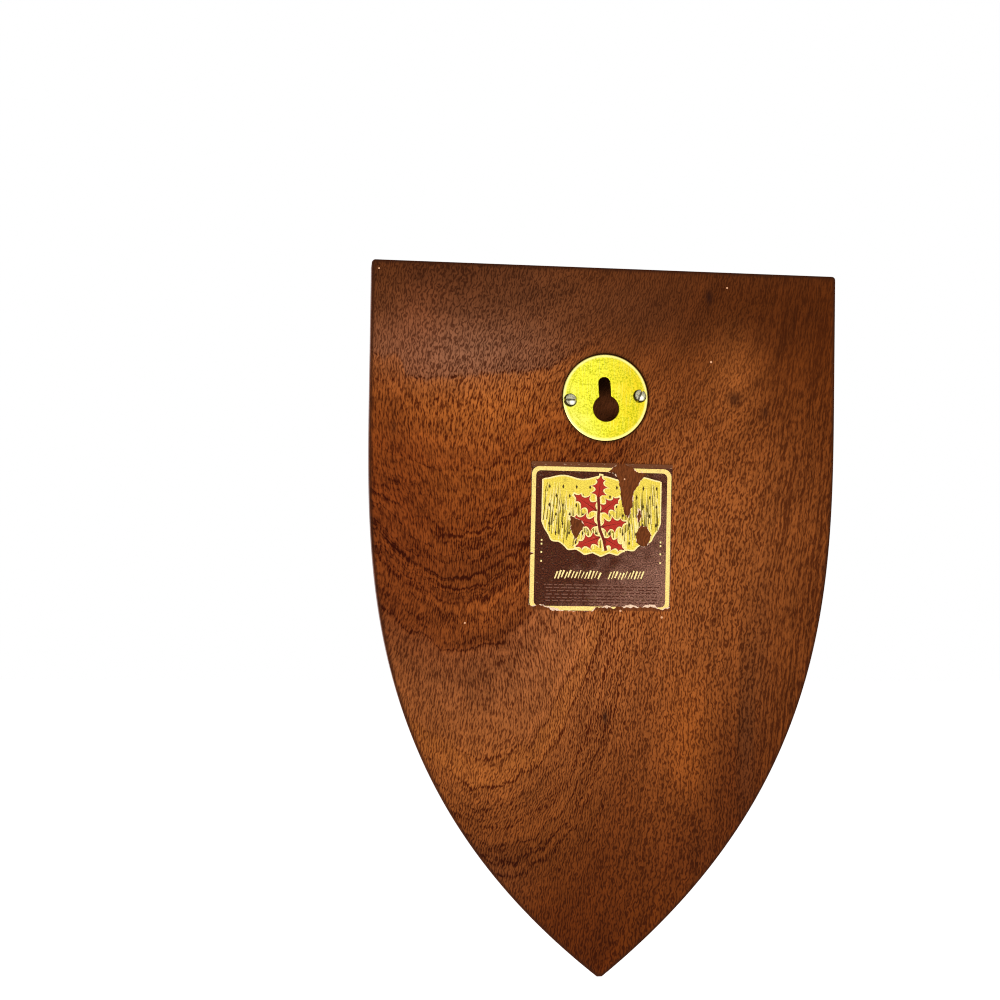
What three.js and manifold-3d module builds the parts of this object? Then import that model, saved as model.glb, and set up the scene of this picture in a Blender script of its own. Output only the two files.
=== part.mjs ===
// A wooden shield plaque for a wall: a mahogany board cut to a heater shield, with a round brass keyhole plate
// let into its back, two slotted screws that hold the plate, and the torn remains of a paper label below it.
//
// Millimetres, +Z up. The back of the board is the plane y = 0 and faces +Y, and the front faces -Y. The origin
// is the centre of the round top of the keyhole's slot, on the plane of the back, where a wall screw's shank
// sits. Left and right are as seen from behind, so right is -X.
import * as THREE from "three";
import { mergeVertices } from "three/addons/utils/BufferGeometryUtils.js";
import Module from "manifold-3d";

// Outline of the board
const WIDTH = 152.4; // between the straight parts of the sides
const HEIGHT = 228; // from the top edge to where the two curves would meet
const SHOULDER = 38; // straight part of each side, below the top edge
const SIDE_PULL = 62; // how far each curve follows its side before it turns in
const TIP_PULL = 98; // how far it follows the line of the tip
const TIP_HALF_ANGLE = 52; // degrees between a curve's end and the centre line
const TIP_BLUNT = 0.8; // half the width of the worn tip
const CORNER_RADIUS = 1.2; // the two top corners, in plan
const CURVE_STEPS = 30;
const CORNER_STEPS = 4;

// Thickness and edges of the board
const THICKNESS = 15;
const ARRIS = 0.6; // radius of the eased edge behind
const ARRIS_STEPS = 3;
const MOULDING_FILLET = 1; // flat ledge at the outer side of the front moulding
const MOULDING_WIDTH = 5; // the round part of the moulding
const MOULDING_DEPTH = 4;
const MOULDING_QUIRK = 1; // small step from the moulding up to the front face
const MOULDING_STEPS = 7;

// Brass hanger plate
const PLATE_RADIUS = 14;
const PLATE_THICKNESS = 1.2;
const PLATE_CHAMFER = 0.35;
const PLATE_TURN = 4.7; // degrees, anticlockwise as seen from behind
const PLATE_OFFSET = 0.5; // to the left of the board's centre line
const PLATE_SIDES = 72;
const HANG_DROP = 37.3; // from the top edge down to the centre of the slot's round top
const SLOT_WIDTH = 3.9;
const SLOT_RISE = 4.75; // from the plate's centre up to the centre of the slot's round top
const KEYHOLE_RADIUS = 4.25;
const KEYHOLE_DROP = 3.45; // from the plate's centre down to the centre of the round hole
const KEYHOLE_STEPS = 14; // facets on each of its two arcs

// Seat and pocket that are cut for the plate
const SEAT_GAP = 0.3; // between the rim of the plate and the wood
const SEAT_LEDGE = 4.5; // width of wood under the rim that the screws bite into
const POCKET_DEPTH = 9; // from the back of the board to the floor behind the keyhole

// Screws of the plate
const SCREW_EDGE = 2.6; // from a screw's axis to the rim of the plate
const SCREW_HEAD_RADIUS = 1.95;
const SCREW_HEAD_DEPTH = 1; // of the countersunk cone
const SCREW_SHANK_RADIUS = 0.95;
const SCREW_LENGTH = 9.5; // from the top of the head to the point
const SCREW_POINT = 2; // length of the tapered end
const SCREW_GAP = 0.12; // around the head and the shank
const SCREW_SLOT_WIDTH = 0.6;
const SCREW_SLOT_DEPTH = 0.55;
const SCREW_SIDES = 24;
const LEFT_SLOT_TURN = -4; // degrees from level, anticlockwise as seen from behind
const RIGHT_SLOT_TURN = 64;

// Paper label
const LABEL_WIDTH = 46;
const LABEL_HEIGHT = 47.8;
const LABEL_THICKNESS = 0.2;
const LABEL_GAP = 7.1; // from the plate's rim down to the label
const LABEL_OFFSET = 0.7; // to the left of the plate's centre
const LABEL_TURN = 0.4; // degrees, clockwise as seen from behind

// What is left of the label, in shares of its width from the left and of its height from the top
const LABEL_EDGE = [
  [0, 0], [0.61, 0], [0.54, 0.06], [0.59, 0.07], [0.62, 0.12], [0.64, 0.25], [0.66, 0.33], [0.69, 0.37],
  [0.72, 0.27], [0.72, 0.21], [0.77, 0.12], [0.82, 0.065], [0.76, 0.06], [0.72, 0.03], [0.66, 0], [1, 0],
  [1, 0.965], [0.94, 0.98], [0.88, 0.965], [0.68, 0.97], [0.63, 0.96], [0.6, 0.98], [0.57, 0.97], [0.47, 0.97],
  [0.44, 1], [0.16, 0.995], [0.1, 0.96], [0.05, 0.965], [0.02, 0.97], [0, 0.96], [0, 0.63], [0.03, 0.615],
  [0, 0.605],
];
const LABEL_HOLES = [
  [[0.28, 0.36], [0.36, 0.39], [0.38, 0.42], [0.35, 0.47], [0.32, 0.52], [0.28, 0.44]],
  [[0.78, 0.415], [0.82, 0.42], [0.86, 0.48], [0.83, 0.55], [0.8, 0.56], [0.75, 0.53], [0.75, 0.47]],
  [[0.76, 0.3], [0.78, 0.32], [0.78, 0.36], [0.765, 0.395], [0.755, 0.36]],
];

const wasm = await Module();
wasm.setup();

// A closed geometry as a solid that can be cut.
function solidOf(geometry) {
  const bare = new THREE.BufferGeometry().setAttribute("position", geometry.getAttribute("position"));
  bare.setIndex(geometry.index);
  const merged = mergeVertices(bare, 1e-4);
  return new wasm.Manifold(
    new wasm.Mesh({
      numProp: 3,
      vertProperties: merged.getAttribute("position").array,
      triVerts: new Uint32Array(merged.index.array),
    }),
  );
}

// A solid as a flat-shaded geometry.
function geometryOf(solid) {
  const cut = solid.getMesh();
  const geometry = new THREE.BufferGeometry();
  geometry.setAttribute("position", new THREE.BufferAttribute(cut.vertProperties, 3));
  geometry.setIndex(new THREE.BufferAttribute(cut.triVerts, 1));
  const flat = geometry.toNonIndexed();
  flat.computeVertexNormals();
  return flat;
}

// A shape drawn in x and z, as a slab from the plane y = top down to y = top - depth.
function slab(shape, top, depth) {
  const geometry = new THREE.ExtrudeGeometry(shape, { depth, bevelEnabled: false, curveSegments: KEYHOLE_STEPS });
  const upright = new THREE.Matrix4().set(1, 0, 0, 0, 0, 0, -1, top, 0, 1, 0, 0, 0, 0, 0, 1);
  return geometry.applyMatrix4(upright);
}

// A turned body about the Y axis, from [radius, y] pairs that run from the lowest y to the highest.
function turned(profile, sides) {
  return new THREE.LatheGeometry(
    profile.map(([radius, y]) => new THREE.Vector2(radius, y)),
    sides,
  );
}

function cylinder(radius, from, to, sides) {
  return turned([[0, from], [radius, from], [radius, to], [0, to]], sides);
}

// The board's outline as [x, height] pairs, a set distance inside the true edge, with the top edge at height 0
// and the centre line at x = 0. Every such outline has the same number of points, from the top left to the tip
// and back up to the top right.
function boardOutline(inset) {
  const tip = THREE.MathUtils.degToRad(TIP_HALF_ANGLE);
  const curve = new THREE.CubicBezierCurve(
    new THREE.Vector2(WIDTH / 2, -SHOULDER),
    new THREE.Vector2(WIDTH / 2, -SHOULDER - SIDE_PULL),
    new THREE.Vector2(TIP_PULL * Math.sin(tip), -HEIGHT + TIP_PULL * Math.cos(tip)),
    new THREE.Vector2(0, -HEIGHT),
  );
  const at = (t) => {
    const point = curve.getPoint(t);
    const along = curve.getTangent(t);
    return [point.x + inset * along.y, point.y - inset * along.x];
  };
  let before = 0.5;
  let after = 1;
  while (after - before > 1e-9) {
    const middle = (before + after) / 2;
    if (at(middle)[0] > TIP_BLUNT) before = middle;
    else after = middle;
  }
  const radius = Math.max(CORNER_RADIUS - inset, CORNER_RADIUS / 10);
  const half = [];
  for (let i = 0; i <= CORNER_STEPS; i++) {
    const angle = ((1 - i / CORNER_STEPS) * Math.PI) / 2;
    half.push([
      WIDTH / 2 - inset - radius * (1 - Math.cos(angle)),
      -inset - radius * (1 - Math.sin(angle)),
    ]);
  }
  for (let i = 0; i <= CURVE_STEPS; i++) half.push(at((before * i) / CURVE_STEPS));
  return [...half, ...half.map(([x, height]) => [-x, height]).reverse()];
}

// The edge of the board as [inset, y] pairs, from the back face round to the front face.
function edgeProfile() {
  const profile = [];
  for (let i = 0; i <= ARRIS_STEPS; i++) {
    const angle = ((i / ARRIS_STEPS) * Math.PI) / 2;
    profile.push([ARRIS * (1 - Math.sin(angle)), -ARRIS * (1 - Math.cos(angle))]);
  }
  const ledge = -THICKNESS + MOULDING_QUIRK + MOULDING_DEPTH;
  profile.push([0, ledge]);
  for (let i = 0; i <= MOULDING_STEPS; i++) {
    const angle = ((i / MOULDING_STEPS) * Math.PI) / 2;
    profile.push([
      MOULDING_FILLET + MOULDING_WIDTH * (1 - Math.cos(angle)),
      ledge - MOULDING_DEPTH * Math.sin(angle),
    ]);
  }
  profile.push([MOULDING_FILLET + MOULDING_WIDTH, -THICKNESS]);
  return profile;
}

// The uncut board: the outline swept round the edge profile and closed by the back and front faces.
function boardBlank() {
  const rings = edgeProfile().map(([inset, y]) =>
    boardOutline(inset).map(([x, height]) => [x, y, height]),
  );
  const count = rings[0].length;
  const index = [];
  for (let r = 0; r + 1 < rings.length; r++)
    for (let i = 0; i < count; i++) {
      const a = r * count + i;
      const b = r * count + ((i + 1) % count);
      index.push(a, a + count, b, b, a + count, b + count);
    }
  const face = (ring) =>
    THREE.ShapeUtils.triangulateShape(
      ring.map(([x, , z]) => new THREE.Vector2(x, z)),
      [],
    );
  const last = (rings.length - 1) * count;
  for (const [a, b, c] of face(rings[0])) index.push(a, c, b);
  for (const [a, b, c] of face(rings.at(-1))) index.push(last + a, last + b, last + c);
  const geometry = new THREE.BufferGeometry();
  geometry.setAttribute("position", new THREE.Float32BufferAttribute(rings.flat(2), 3));
  geometry.setIndex(index);
  return geometry;
}

// The plate's own frame: its centre, turned with it.
const plateTurn = THREE.MathUtils.degToRad(PLATE_TURN);
const plateFrame = new THREE.Group();
plateFrame.rotation.y = plateTurn;
plateFrame.position.set(-SLOT_RISE * Math.sin(plateTurn), 0, -SLOT_RISE * Math.cos(plateTurn));
plateFrame.updateMatrix();

const screwCircle = PLATE_RADIUS - SCREW_EDGE;
const screwPlaces = [
  { name: "plate_screw_left", x: screwCircle, turn: LEFT_SLOT_TURN },
  { name: "plate_screw_right", x: -screwCircle, turn: RIGHT_SLOT_TURN },
];

// The board with the seat, the pocket and the two pilot holes cut into its back.
function shieldBoard() {
  const blank = boardBlank();
  blank.translate(plateFrame.position.x - PLATE_OFFSET, 0, HANG_DROP);
  const over = 1;
  const cuts = [
    cylinder(PLATE_RADIUS + SEAT_GAP, -PLATE_THICKNESS, over, PLATE_SIDES),
    cylinder(PLATE_RADIUS - SEAT_LEDGE, -POCKET_DEPTH, over, PLATE_SIDES),
    ...screwPlaces.map(({ x }) =>
      cylinder(SCREW_SHANK_RADIUS + SCREW_GAP, -SCREW_LENGTH - SCREW_GAP, over, SCREW_SIDES).translate(x, 0, 0),
    ),
  ];
  return cuts.reduce(
    (board, cut) => board.subtract(solidOf(cut.applyMatrix4(plateFrame.matrix))),
    solidOf(blank),
  );
}

// The keyhole: a narrow slot with a round top that opens into a round hole below it.
function keyholeShape() {
  const half = SLOT_WIDTH / 2;
  const meets = Math.asin(half / KEYHOLE_RADIUS);
  const shape = new THREE.Shape();
  shape.absarc(0, SLOT_RISE, half, 0, Math.PI, false);
  shape.absarc(0, -KEYHOLE_DROP, KEYHOLE_RADIUS, Math.PI / 2 + meets, Math.PI * 2.5 - meets, false);
  shape.closePath();
  return shape;
}

// The head of a plate screw, or with a gap the hole that it sits in.
function screwHead(gap, top) {
  const under = -SCREW_HEAD_DEPTH;
  return [
    [SCREW_SHANK_RADIUS + gap, under],
    [SCREW_HEAD_RADIUS + gap, 0],
    ...(top > 0 ? [[SCREW_HEAD_RADIUS + gap, top]] : []),
    [0, top],
  ];
}

function hangerPlate() {
  const under = -PLATE_THICKNESS;
  const over = 1;
  const disc = turned(
    [
      [0, under],
      [PLATE_RADIUS, under],
      [PLATE_RADIUS, -PLATE_CHAMFER],
      [PLATE_RADIUS - PLATE_CHAMFER, 0],
      [0, 0],
    ],
    PLATE_SIDES,
  );
  const through = PLATE_THICKNESS + 2 * over;
  const holes = screwPlaces.map(({ x }) =>
    turned(
      [[0, under - over], [SCREW_SHANK_RADIUS + SCREW_GAP, under - over], ...screwHead(SCREW_GAP, over)],
      SCREW_SIDES,
    ).translate(x, 0, 0),
  );
  return [slab(keyholeShape(), over, through), ...holes].reduce(
    (plate, cut) => plate.subtract(solidOf(cut)),
    solidOf(disc),
  );
}

function plateScrew(turn) {
  const body = turned(
    [
      [0, -SCREW_LENGTH],
      [SCREW_SHANK_RADIUS, -SCREW_LENGTH + SCREW_POINT],
      ...screwHead(0, 0),
    ],
    SCREW_SIDES,
  );
  const over = 1;
  const slot = new THREE.BoxGeometry(2 * (SCREW_HEAD_RADIUS + over), SCREW_SLOT_DEPTH + over, SCREW_SLOT_WIDTH);
  slot.translate(0, (over - SCREW_SLOT_DEPTH) / 2, 0);
  slot.rotateY(THREE.MathUtils.degToRad(turn));
  return solidOf(body).subtract(solidOf(slot));
}

function paperLabel() {
  const place = ([across, down]) => new THREE.Vector2((0.5 - across) * LABEL_WIDTH, -down * LABEL_HEIGHT);
  const shape = new THREE.Shape(LABEL_EDGE.map(place));
  shape.holes = LABEL_HOLES.map((hole) => new THREE.Path(hole.map(place)));
  return slab(shape, LABEL_THICKNESS, LABEL_THICKNESS);
}

const mahogany = new THREE.MeshStandardMaterial({ color: 0x7a4221, roughness: 0.5, metalness: 0 });
const brass = new THREE.MeshStandardMaterial({ color: 0xe8d24a, roughness: 0.35, metalness: 1 });
const steel = new THREE.MeshStandardMaterial({ color: 0xb4b2a4, roughness: 0.4, metalness: 1 });
const paper = new THREE.MeshStandardMaterial({ color: 0xb98f52, roughness: 0.7, metalness: 0 });

function piece(name, geometry, material) {
  const mesh = new THREE.Mesh(geometry, material);
  mesh.name = name;
  return mesh;
}

const plaque = new THREE.Group();
plaque.add(piece("shield_board", geometryOf(shieldBoard()), mahogany));

plateFrame.add(piece("hanger_plate", geometryOf(hangerPlate()), brass));
for (const { name, x, turn } of screwPlaces) {
  const screw = piece(name, geometryOf(plateScrew(turn)), steel);
  screw.position.x = x;
  plateFrame.add(screw);
}
plaque.add(plateFrame);

const label = piece("paper_label", paperLabel(), paper);
label.position.set(plateFrame.position.x + LABEL_OFFSET, 0, plateFrame.position.z - PLATE_RADIUS - LABEL_GAP);
label.rotation.y = -THREE.MathUtils.degToRad(LABEL_TURN);
plaque.add(label);

export default plaque;
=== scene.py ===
"""A wooden shield plaque, seen from behind: board, brass keyhole plate, two screws and a torn paper label.

Blender works in metres. Lengths below are in millimetres, and a mesh is turned into metres as it is made.
Row frame: +Z up, the back of the board is the plane y = 0 and faces +Y, left as seen from behind is +X.
"""

import math
import random

import bmesh
import bpy
import numpy as np
from mathutils import Matrix, Vector, noise
from mathutils.geometry import delaunay_2d_cdt, tessellate_polygon


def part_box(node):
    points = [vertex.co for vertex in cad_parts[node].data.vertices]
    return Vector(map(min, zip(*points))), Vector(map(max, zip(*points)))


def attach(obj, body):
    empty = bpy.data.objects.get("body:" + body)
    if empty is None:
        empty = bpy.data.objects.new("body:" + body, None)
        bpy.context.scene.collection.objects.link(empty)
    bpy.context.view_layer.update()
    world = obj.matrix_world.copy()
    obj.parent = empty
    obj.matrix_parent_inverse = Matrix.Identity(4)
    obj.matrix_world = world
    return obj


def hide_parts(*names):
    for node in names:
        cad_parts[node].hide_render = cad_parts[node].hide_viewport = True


bl_info = {
    "name": "Shield Plaque",
    "version": (1, 0, 0),
    "blender": (4, 5, 0),
    "location": "3D View > Sidebar > Plaque",
    "description": "Makes the finished pieces of a wooden shield plaque around its solid model",
    "category": "Add Mesh",
}

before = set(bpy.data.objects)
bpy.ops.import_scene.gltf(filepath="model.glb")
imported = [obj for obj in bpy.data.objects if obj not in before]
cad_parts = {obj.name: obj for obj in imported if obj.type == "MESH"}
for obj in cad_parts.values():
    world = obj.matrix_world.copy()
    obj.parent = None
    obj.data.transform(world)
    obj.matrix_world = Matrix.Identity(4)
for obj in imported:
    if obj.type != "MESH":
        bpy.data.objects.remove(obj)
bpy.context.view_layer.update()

MM = 0.001
BODY = "root"


def frame_box(node):
    """Lowest and highest corner of a solid, in millimetres."""
    low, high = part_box(node)
    return low / MM, high / MM


board_low, board_high = frame_box("shield_board")
plate_low, plate_high = frame_box("hanger_plate")

# The board's centre line and edges, the plate's centre and the way that the plate is turned
CENTRE_X = (board_low.x + board_high.x) / 2
TOP_Z = board_high.z
TIP_Z = board_low.z
THICKNESS = -board_low.y
PLATE_X = (plate_low.x + plate_high.x) / 2
PLATE_Z = (plate_low.z + plate_high.z) / 2
PLATE_RADIUS = (plate_high.x - plate_low.x) / 2
PLATE_THICKNESS = -plate_low.y
SCREW_NODES = {"left": "plate_screw_left", "right": "plate_screw_right"}


def screw_place(side):
    """Centre of a screw in x and z."""
    low, high = frame_box(SCREW_NODES[side])
    return Vector(((low.x + high.x) / 2, (low.z + high.z) / 2))


screw_line = screw_place("left") - screw_place("right")
PLATE_TURN = math.atan2(screw_line.y, screw_line.x)


def linear(red, green, blue):
    """A colour of 0 to 255 a channel, as seen on a screen, in Blender's linear values."""

    def channel(value):
        level = value / 255
        return level / 12.92 if level <= 0.04045 else ((level + 0.055) / 1.055) ** 2.4

    return channel(red), channel(green), channel(blue)


# Settings


def number(name, description, default, **kind):
    """A number that the user can change."""
    return bpy.props.FloatProperty(name=name, description=description, default=default, **kind)


def length(name, description, millimetres):
    """A length that the user can change."""
    return number(name, description, millimetres * MM, subtype="DISTANCE", unit="LENGTH", precision=5)


def angle(name, description, degrees):
    """An angle that the user can change."""
    return number(name, description, math.radians(degrees), subtype="ANGLE", unit="ROTATION")


def colour(name, description, *levels):
    """A colour that the user can change, from its levels on a screen."""
    return bpy.props.FloatVectorProperty(
        name=name, description=description, default=linear(*levels), subtype="COLOR", size=3, min=0, max=1
    )


def share(name, description, default):
    """A number from 0 to 1 that the user can change."""
    return number(name, description, default, subtype="FACTOR", min=0, max=1)


class BoardSettings(bpy.types.PropertyGroup):
    """Shape and wood of the board."""

    shoulder: length("Shoulder", "Straight part of each side below the top edge", 38)
    side_pull: length("Side pull", "How far each curve follows its side before it turns in", 62)
    tip_pull: length("Tip pull", "How far each curve follows the line of the tip", 98)
    tip_half_angle: angle("Tip half angle", "Between a curve's end and the centre line", 52)
    tip_blunt: length("Tip blunt", "Half the width of the worn tip", 0.8)
    corner_radius: length("Corner radius", "Of the two top corners", 1.2)
    arris: length("Arris", "Radius of the eased edge behind", 0.6)
    # The dark rim is painted shade along the edge behind
    rim_shade_width: length("Dark rim", "Width of the darkened wood along the edge behind", 1.1)
    fillet: length("Fillet", "Flat ledge at the outer side of the front moulding", 1)
    moulding_width: length("Moulding width", "Of the round part of the front moulding", 5)
    moulding_depth: length("Moulding depth", "Of the round part of the front moulding", 4)
    quirk: length("Quirk", "Step from the moulding up to the front face", 1)
    seat_gap: length("Seat gap", "Between the rim of the plate and the wood", 0.3)
    seat_shift: length("Seat shift", "How far the seat lies up and right of the plate", 0.14)
    seat_ledge: length("Seat ledge", "Width of wood under the rim of the plate", 4.5)
    pocket_depth: length("Pocket depth", "From the back of the board to the floor behind the keyhole", 9)
    ground: colour("Ground", "The wood between its pores", 136, 72, 31)
    edge: colour("Edge", "The polished sides and front", 112, 50, 20)
    pore_strength: share("Pores", "How dark the pores are", 0.95)


class PlateSettings(bpy.types.PropertyGroup):
    """Shape and metal of the hanger plate and its screws."""

    rim: length("Rim", "Radius of the plate's rounded rim", 0.35)
    slot_width: length("Slot width", "Of the keyhole's slot", 3.9)
    slot_rise: length("Slot rise", "From the plate's centre up to the round top of the slot", 4.75)
    keyhole_radius: length("Keyhole radius", "Of the round hole", 4.25)
    keyhole_drop: length("Keyhole drop", "From the plate's centre down to the round hole", 3.45)
    keyhole_ease: length("Keyhole ease", "Radius of the keyhole's worn edge", 0.22)
    head_radius: length("Head radius", "Of a screw", 1.95)
    head_depth: length("Head depth", "Of a screw's countersunk cone", 1)
    shank_radius: length("Shank radius", "Of a screw", 0.95)
    screw_length: length("Screw length", "From the top of the head to the point", 9.5)
    screw_point: length("Screw point", "Length of a screw's tapered end", 2)
    screw_gap: length("Screw gap", "Between a screw and its hole", 0.12)
    slot_cut: length("Screw slot", "Width of the slot in a screw's head", 0.6)
    slot_depth: length("Screw slot depth", "Depth of the slot in a screw's head", 0.55)
    left_slot_turn: angle("Left slot turn", "Of the left screw's slot from level", -4)
    right_slot_turn: angle("Right slot turn", "Of the right screw's slot from level", 64)
    brass: colour("Brass", "Main colour of the plate", 246, 236, 62)
    brass_gold: colour("Golden brass", "Towards the right of the plate", 240, 208, 40)
    brass_stain: colour("Brass stain", "Small dull specks", 172, 174, 18)
    steel: colour("Steel", "The screws", 176, 172, 142)


class LabelSettings(bpy.types.PropertyGroup):
    """Paper and print of the label."""

    thickness: length("Thickness", "Of the paper", 0.2)
    curl: length("Curl", "How far torn edges lift", 0.12)
    tear_step: length("Tear step", "Distance between the points of a torn edge", 0.4)
    tear_depth: length("Tear depth", "How far a torn edge strays from its line", 0.42)
    core_width: length("Core width", "Widest strip of bare paper along a tear", 0.9)
    line_width: length("Line width", "Of the printed border", 1.35)
    ground: colour("Ground", "Dark printed ground", 68, 29, 12)
    # Lighter ground towards the label's lower right
    bloom: colour("Bloom", "Faded ground at the lower right", 124, 84, 68)
    border: colour("Border", "Printed border line", 240, 209, 122)
    field: colour("Field", "Printed panel", 226, 200, 74)
    cream: colour("Cream", "Lines round the panel and the sprig", 246, 222, 148)
    shade: colour("Shade", "Fine dark lines of the print", 108, 92, 30)
    sprig: colour("Sprig", "Printed leaves", 172, 44, 32)
    sprig_dark: colour("Dark sprig", "Outlines and veins of the leaves", 104, 28, 16)
    core: colour("Core", "Bare torn paper", 226, 192, 162)


class StageSettings(bpy.types.PropertyGroup):
    """Camera, lights and floor."""

    place: bpy.props.FloatVectorProperty(
        name="Camera place",
        description="Where the camera stands",
        default=(0.08661, 0.43491, -0.04840),
        subtype="TRANSLATION",
        unit="LENGTH",
    )
    yaw: angle("Yaw", "Turn of the view from straight at the back", -6.980)
    pitch: angle("Pitch", "Rise of the view", 1.318)
    roll: angle("Roll", "Tilt of the view about its own axis", 0.848)
    focal_length: number("Focal length", "On a sensor 36 mm wide", 49.5, subtype="DISTANCE_CAMERA")
    floor_drop: length("Floor drop", "How far the floor lies below the tip", 560)
    sky: number("Sky", "Strength of the light from all round", 0.56, min=0)
    key: number("Key", "Main soft light in watts", 4.4, min=0)
    fill: number("Fill", "Second soft light in watts", 2.2, min=0)
    front: number("Front", "Light on the front in watts", 16, min=0)


# Meshes

# Two faces that meet at more than this keep a hard edge between them
SHARP = math.radians(32)


def side_of(along):
    """The direction a quarter turn to the left of another in x and z."""
    return Vector((-along.y, along.x))


class Body:
    """One closed mesh being made: rings of points joined by walls and closed by flat faces."""

    def __init__(self):
        self.points = []
        self.faces = []
        self.smooth = []

    def ring(self, outline, height):
        """Adds an outline of x and z at one y, and returns its points' numbers."""
        first = len(self.points)
        self.points += [(x, height, z) for x, z in outline]
        return list(range(first, len(self.points)))

    def wall(self, *rings):
        """Joins each ring to the next one."""
        for lower, upper in zip(rings, rings[1:]):
            for i in range(len(lower)):
                after = (i + 1) % len(lower)
                self.faces.append((lower[i], lower[after], upper[after], upper[i]))
                self.smooth.append(True)

    def face(self, outer, *holes):
        """Fills a ring that lies in one plane, around any holes."""
        loops = [outer, *holes]
        corners = [corner for loop in loops for corner in loop]
        flat = [[Vector((self.points[c][0], self.points[c][2], 0)) for c in loop] for loop in loops]
        for triangle in tessellate_polygon(flat):
            self.faces.append(tuple(corners[i] for i in triangle))
            self.smooth.append(False)

    def piece(self, name, finish):
        """Makes the object, with its faces turned outwards and its hard edges kept."""
        mesh = bpy.data.meshes.new(name)
        mesh.from_pydata([Vector(point) * MM for point in self.points], [], self.faces)
        mesh.polygons.foreach_set("use_smooth", self.smooth)
        mesh.materials.append(finish)
        tidy(mesh)
        made = bpy.data.objects.new(name, mesh)
        bpy.context.scene.collection.objects.link(made)
        return made


def tidy(mesh):
    """Turns all faces outwards and marks the hard edges."""
    edit = bmesh.new()
    edit.from_mesh(mesh)
    bmesh.ops.recalc_face_normals(edit, faces=edit.faces)
    for edge in edit.edges:
        edge.smooth = len(edge.link_faces) == 2 and edge.calc_face_angle() < SHARP
    edit.to_mesh(mesh)
    edit.free()
    mesh.update()


def dress(piece, slot, *nodes):
    """Puts a piece under the plaque's body and hides the solids that it stands for."""
    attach(piece, BODY)
    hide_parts(*nodes)
    return piece


def circle(centre, radius, sides):
    """A circle in x and z."""
    x, z = centre
    turns = [2 * math.pi * i / sides for i in range(sides)]
    return [(x + radius * math.cos(a), z + radius * math.sin(a)) for a in turns]


def quarter(steps):
    """Sine and cosine in even steps through a right angle."""
    return [(math.sin(math.pi / 2 * i / steps), math.cos(math.pi / 2 * i / steps)) for i in range(steps + 1)]


# Finishes


class Value:
    """A number that varies over a surface. Arithmetic on it adds Math nodes."""

    def __init__(self, finish, socket):
        self.finish = finish
        self.socket = socket

    def __add__(self, other):
        return self.finish.maths("ADD", self, other)

    __radd__ = __add__

    def __sub__(self, other):
        return self.finish.maths("SUBTRACT", self, other)

    def __rsub__(self, other):
        return self.finish.maths("SUBTRACT", other, self)

    def __mul__(self, other):
        return self.finish.maths("MULTIPLY", self, other)

    __rmul__ = __mul__

    def __truediv__(self, other):
        return self.finish.maths("DIVIDE", self, other)

    def __pow__(self, other):
        return self.finish.maths("POWER", self, other)

    def __neg__(self):
        return self.finish.maths("MULTIPLY", self, -1)


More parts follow.
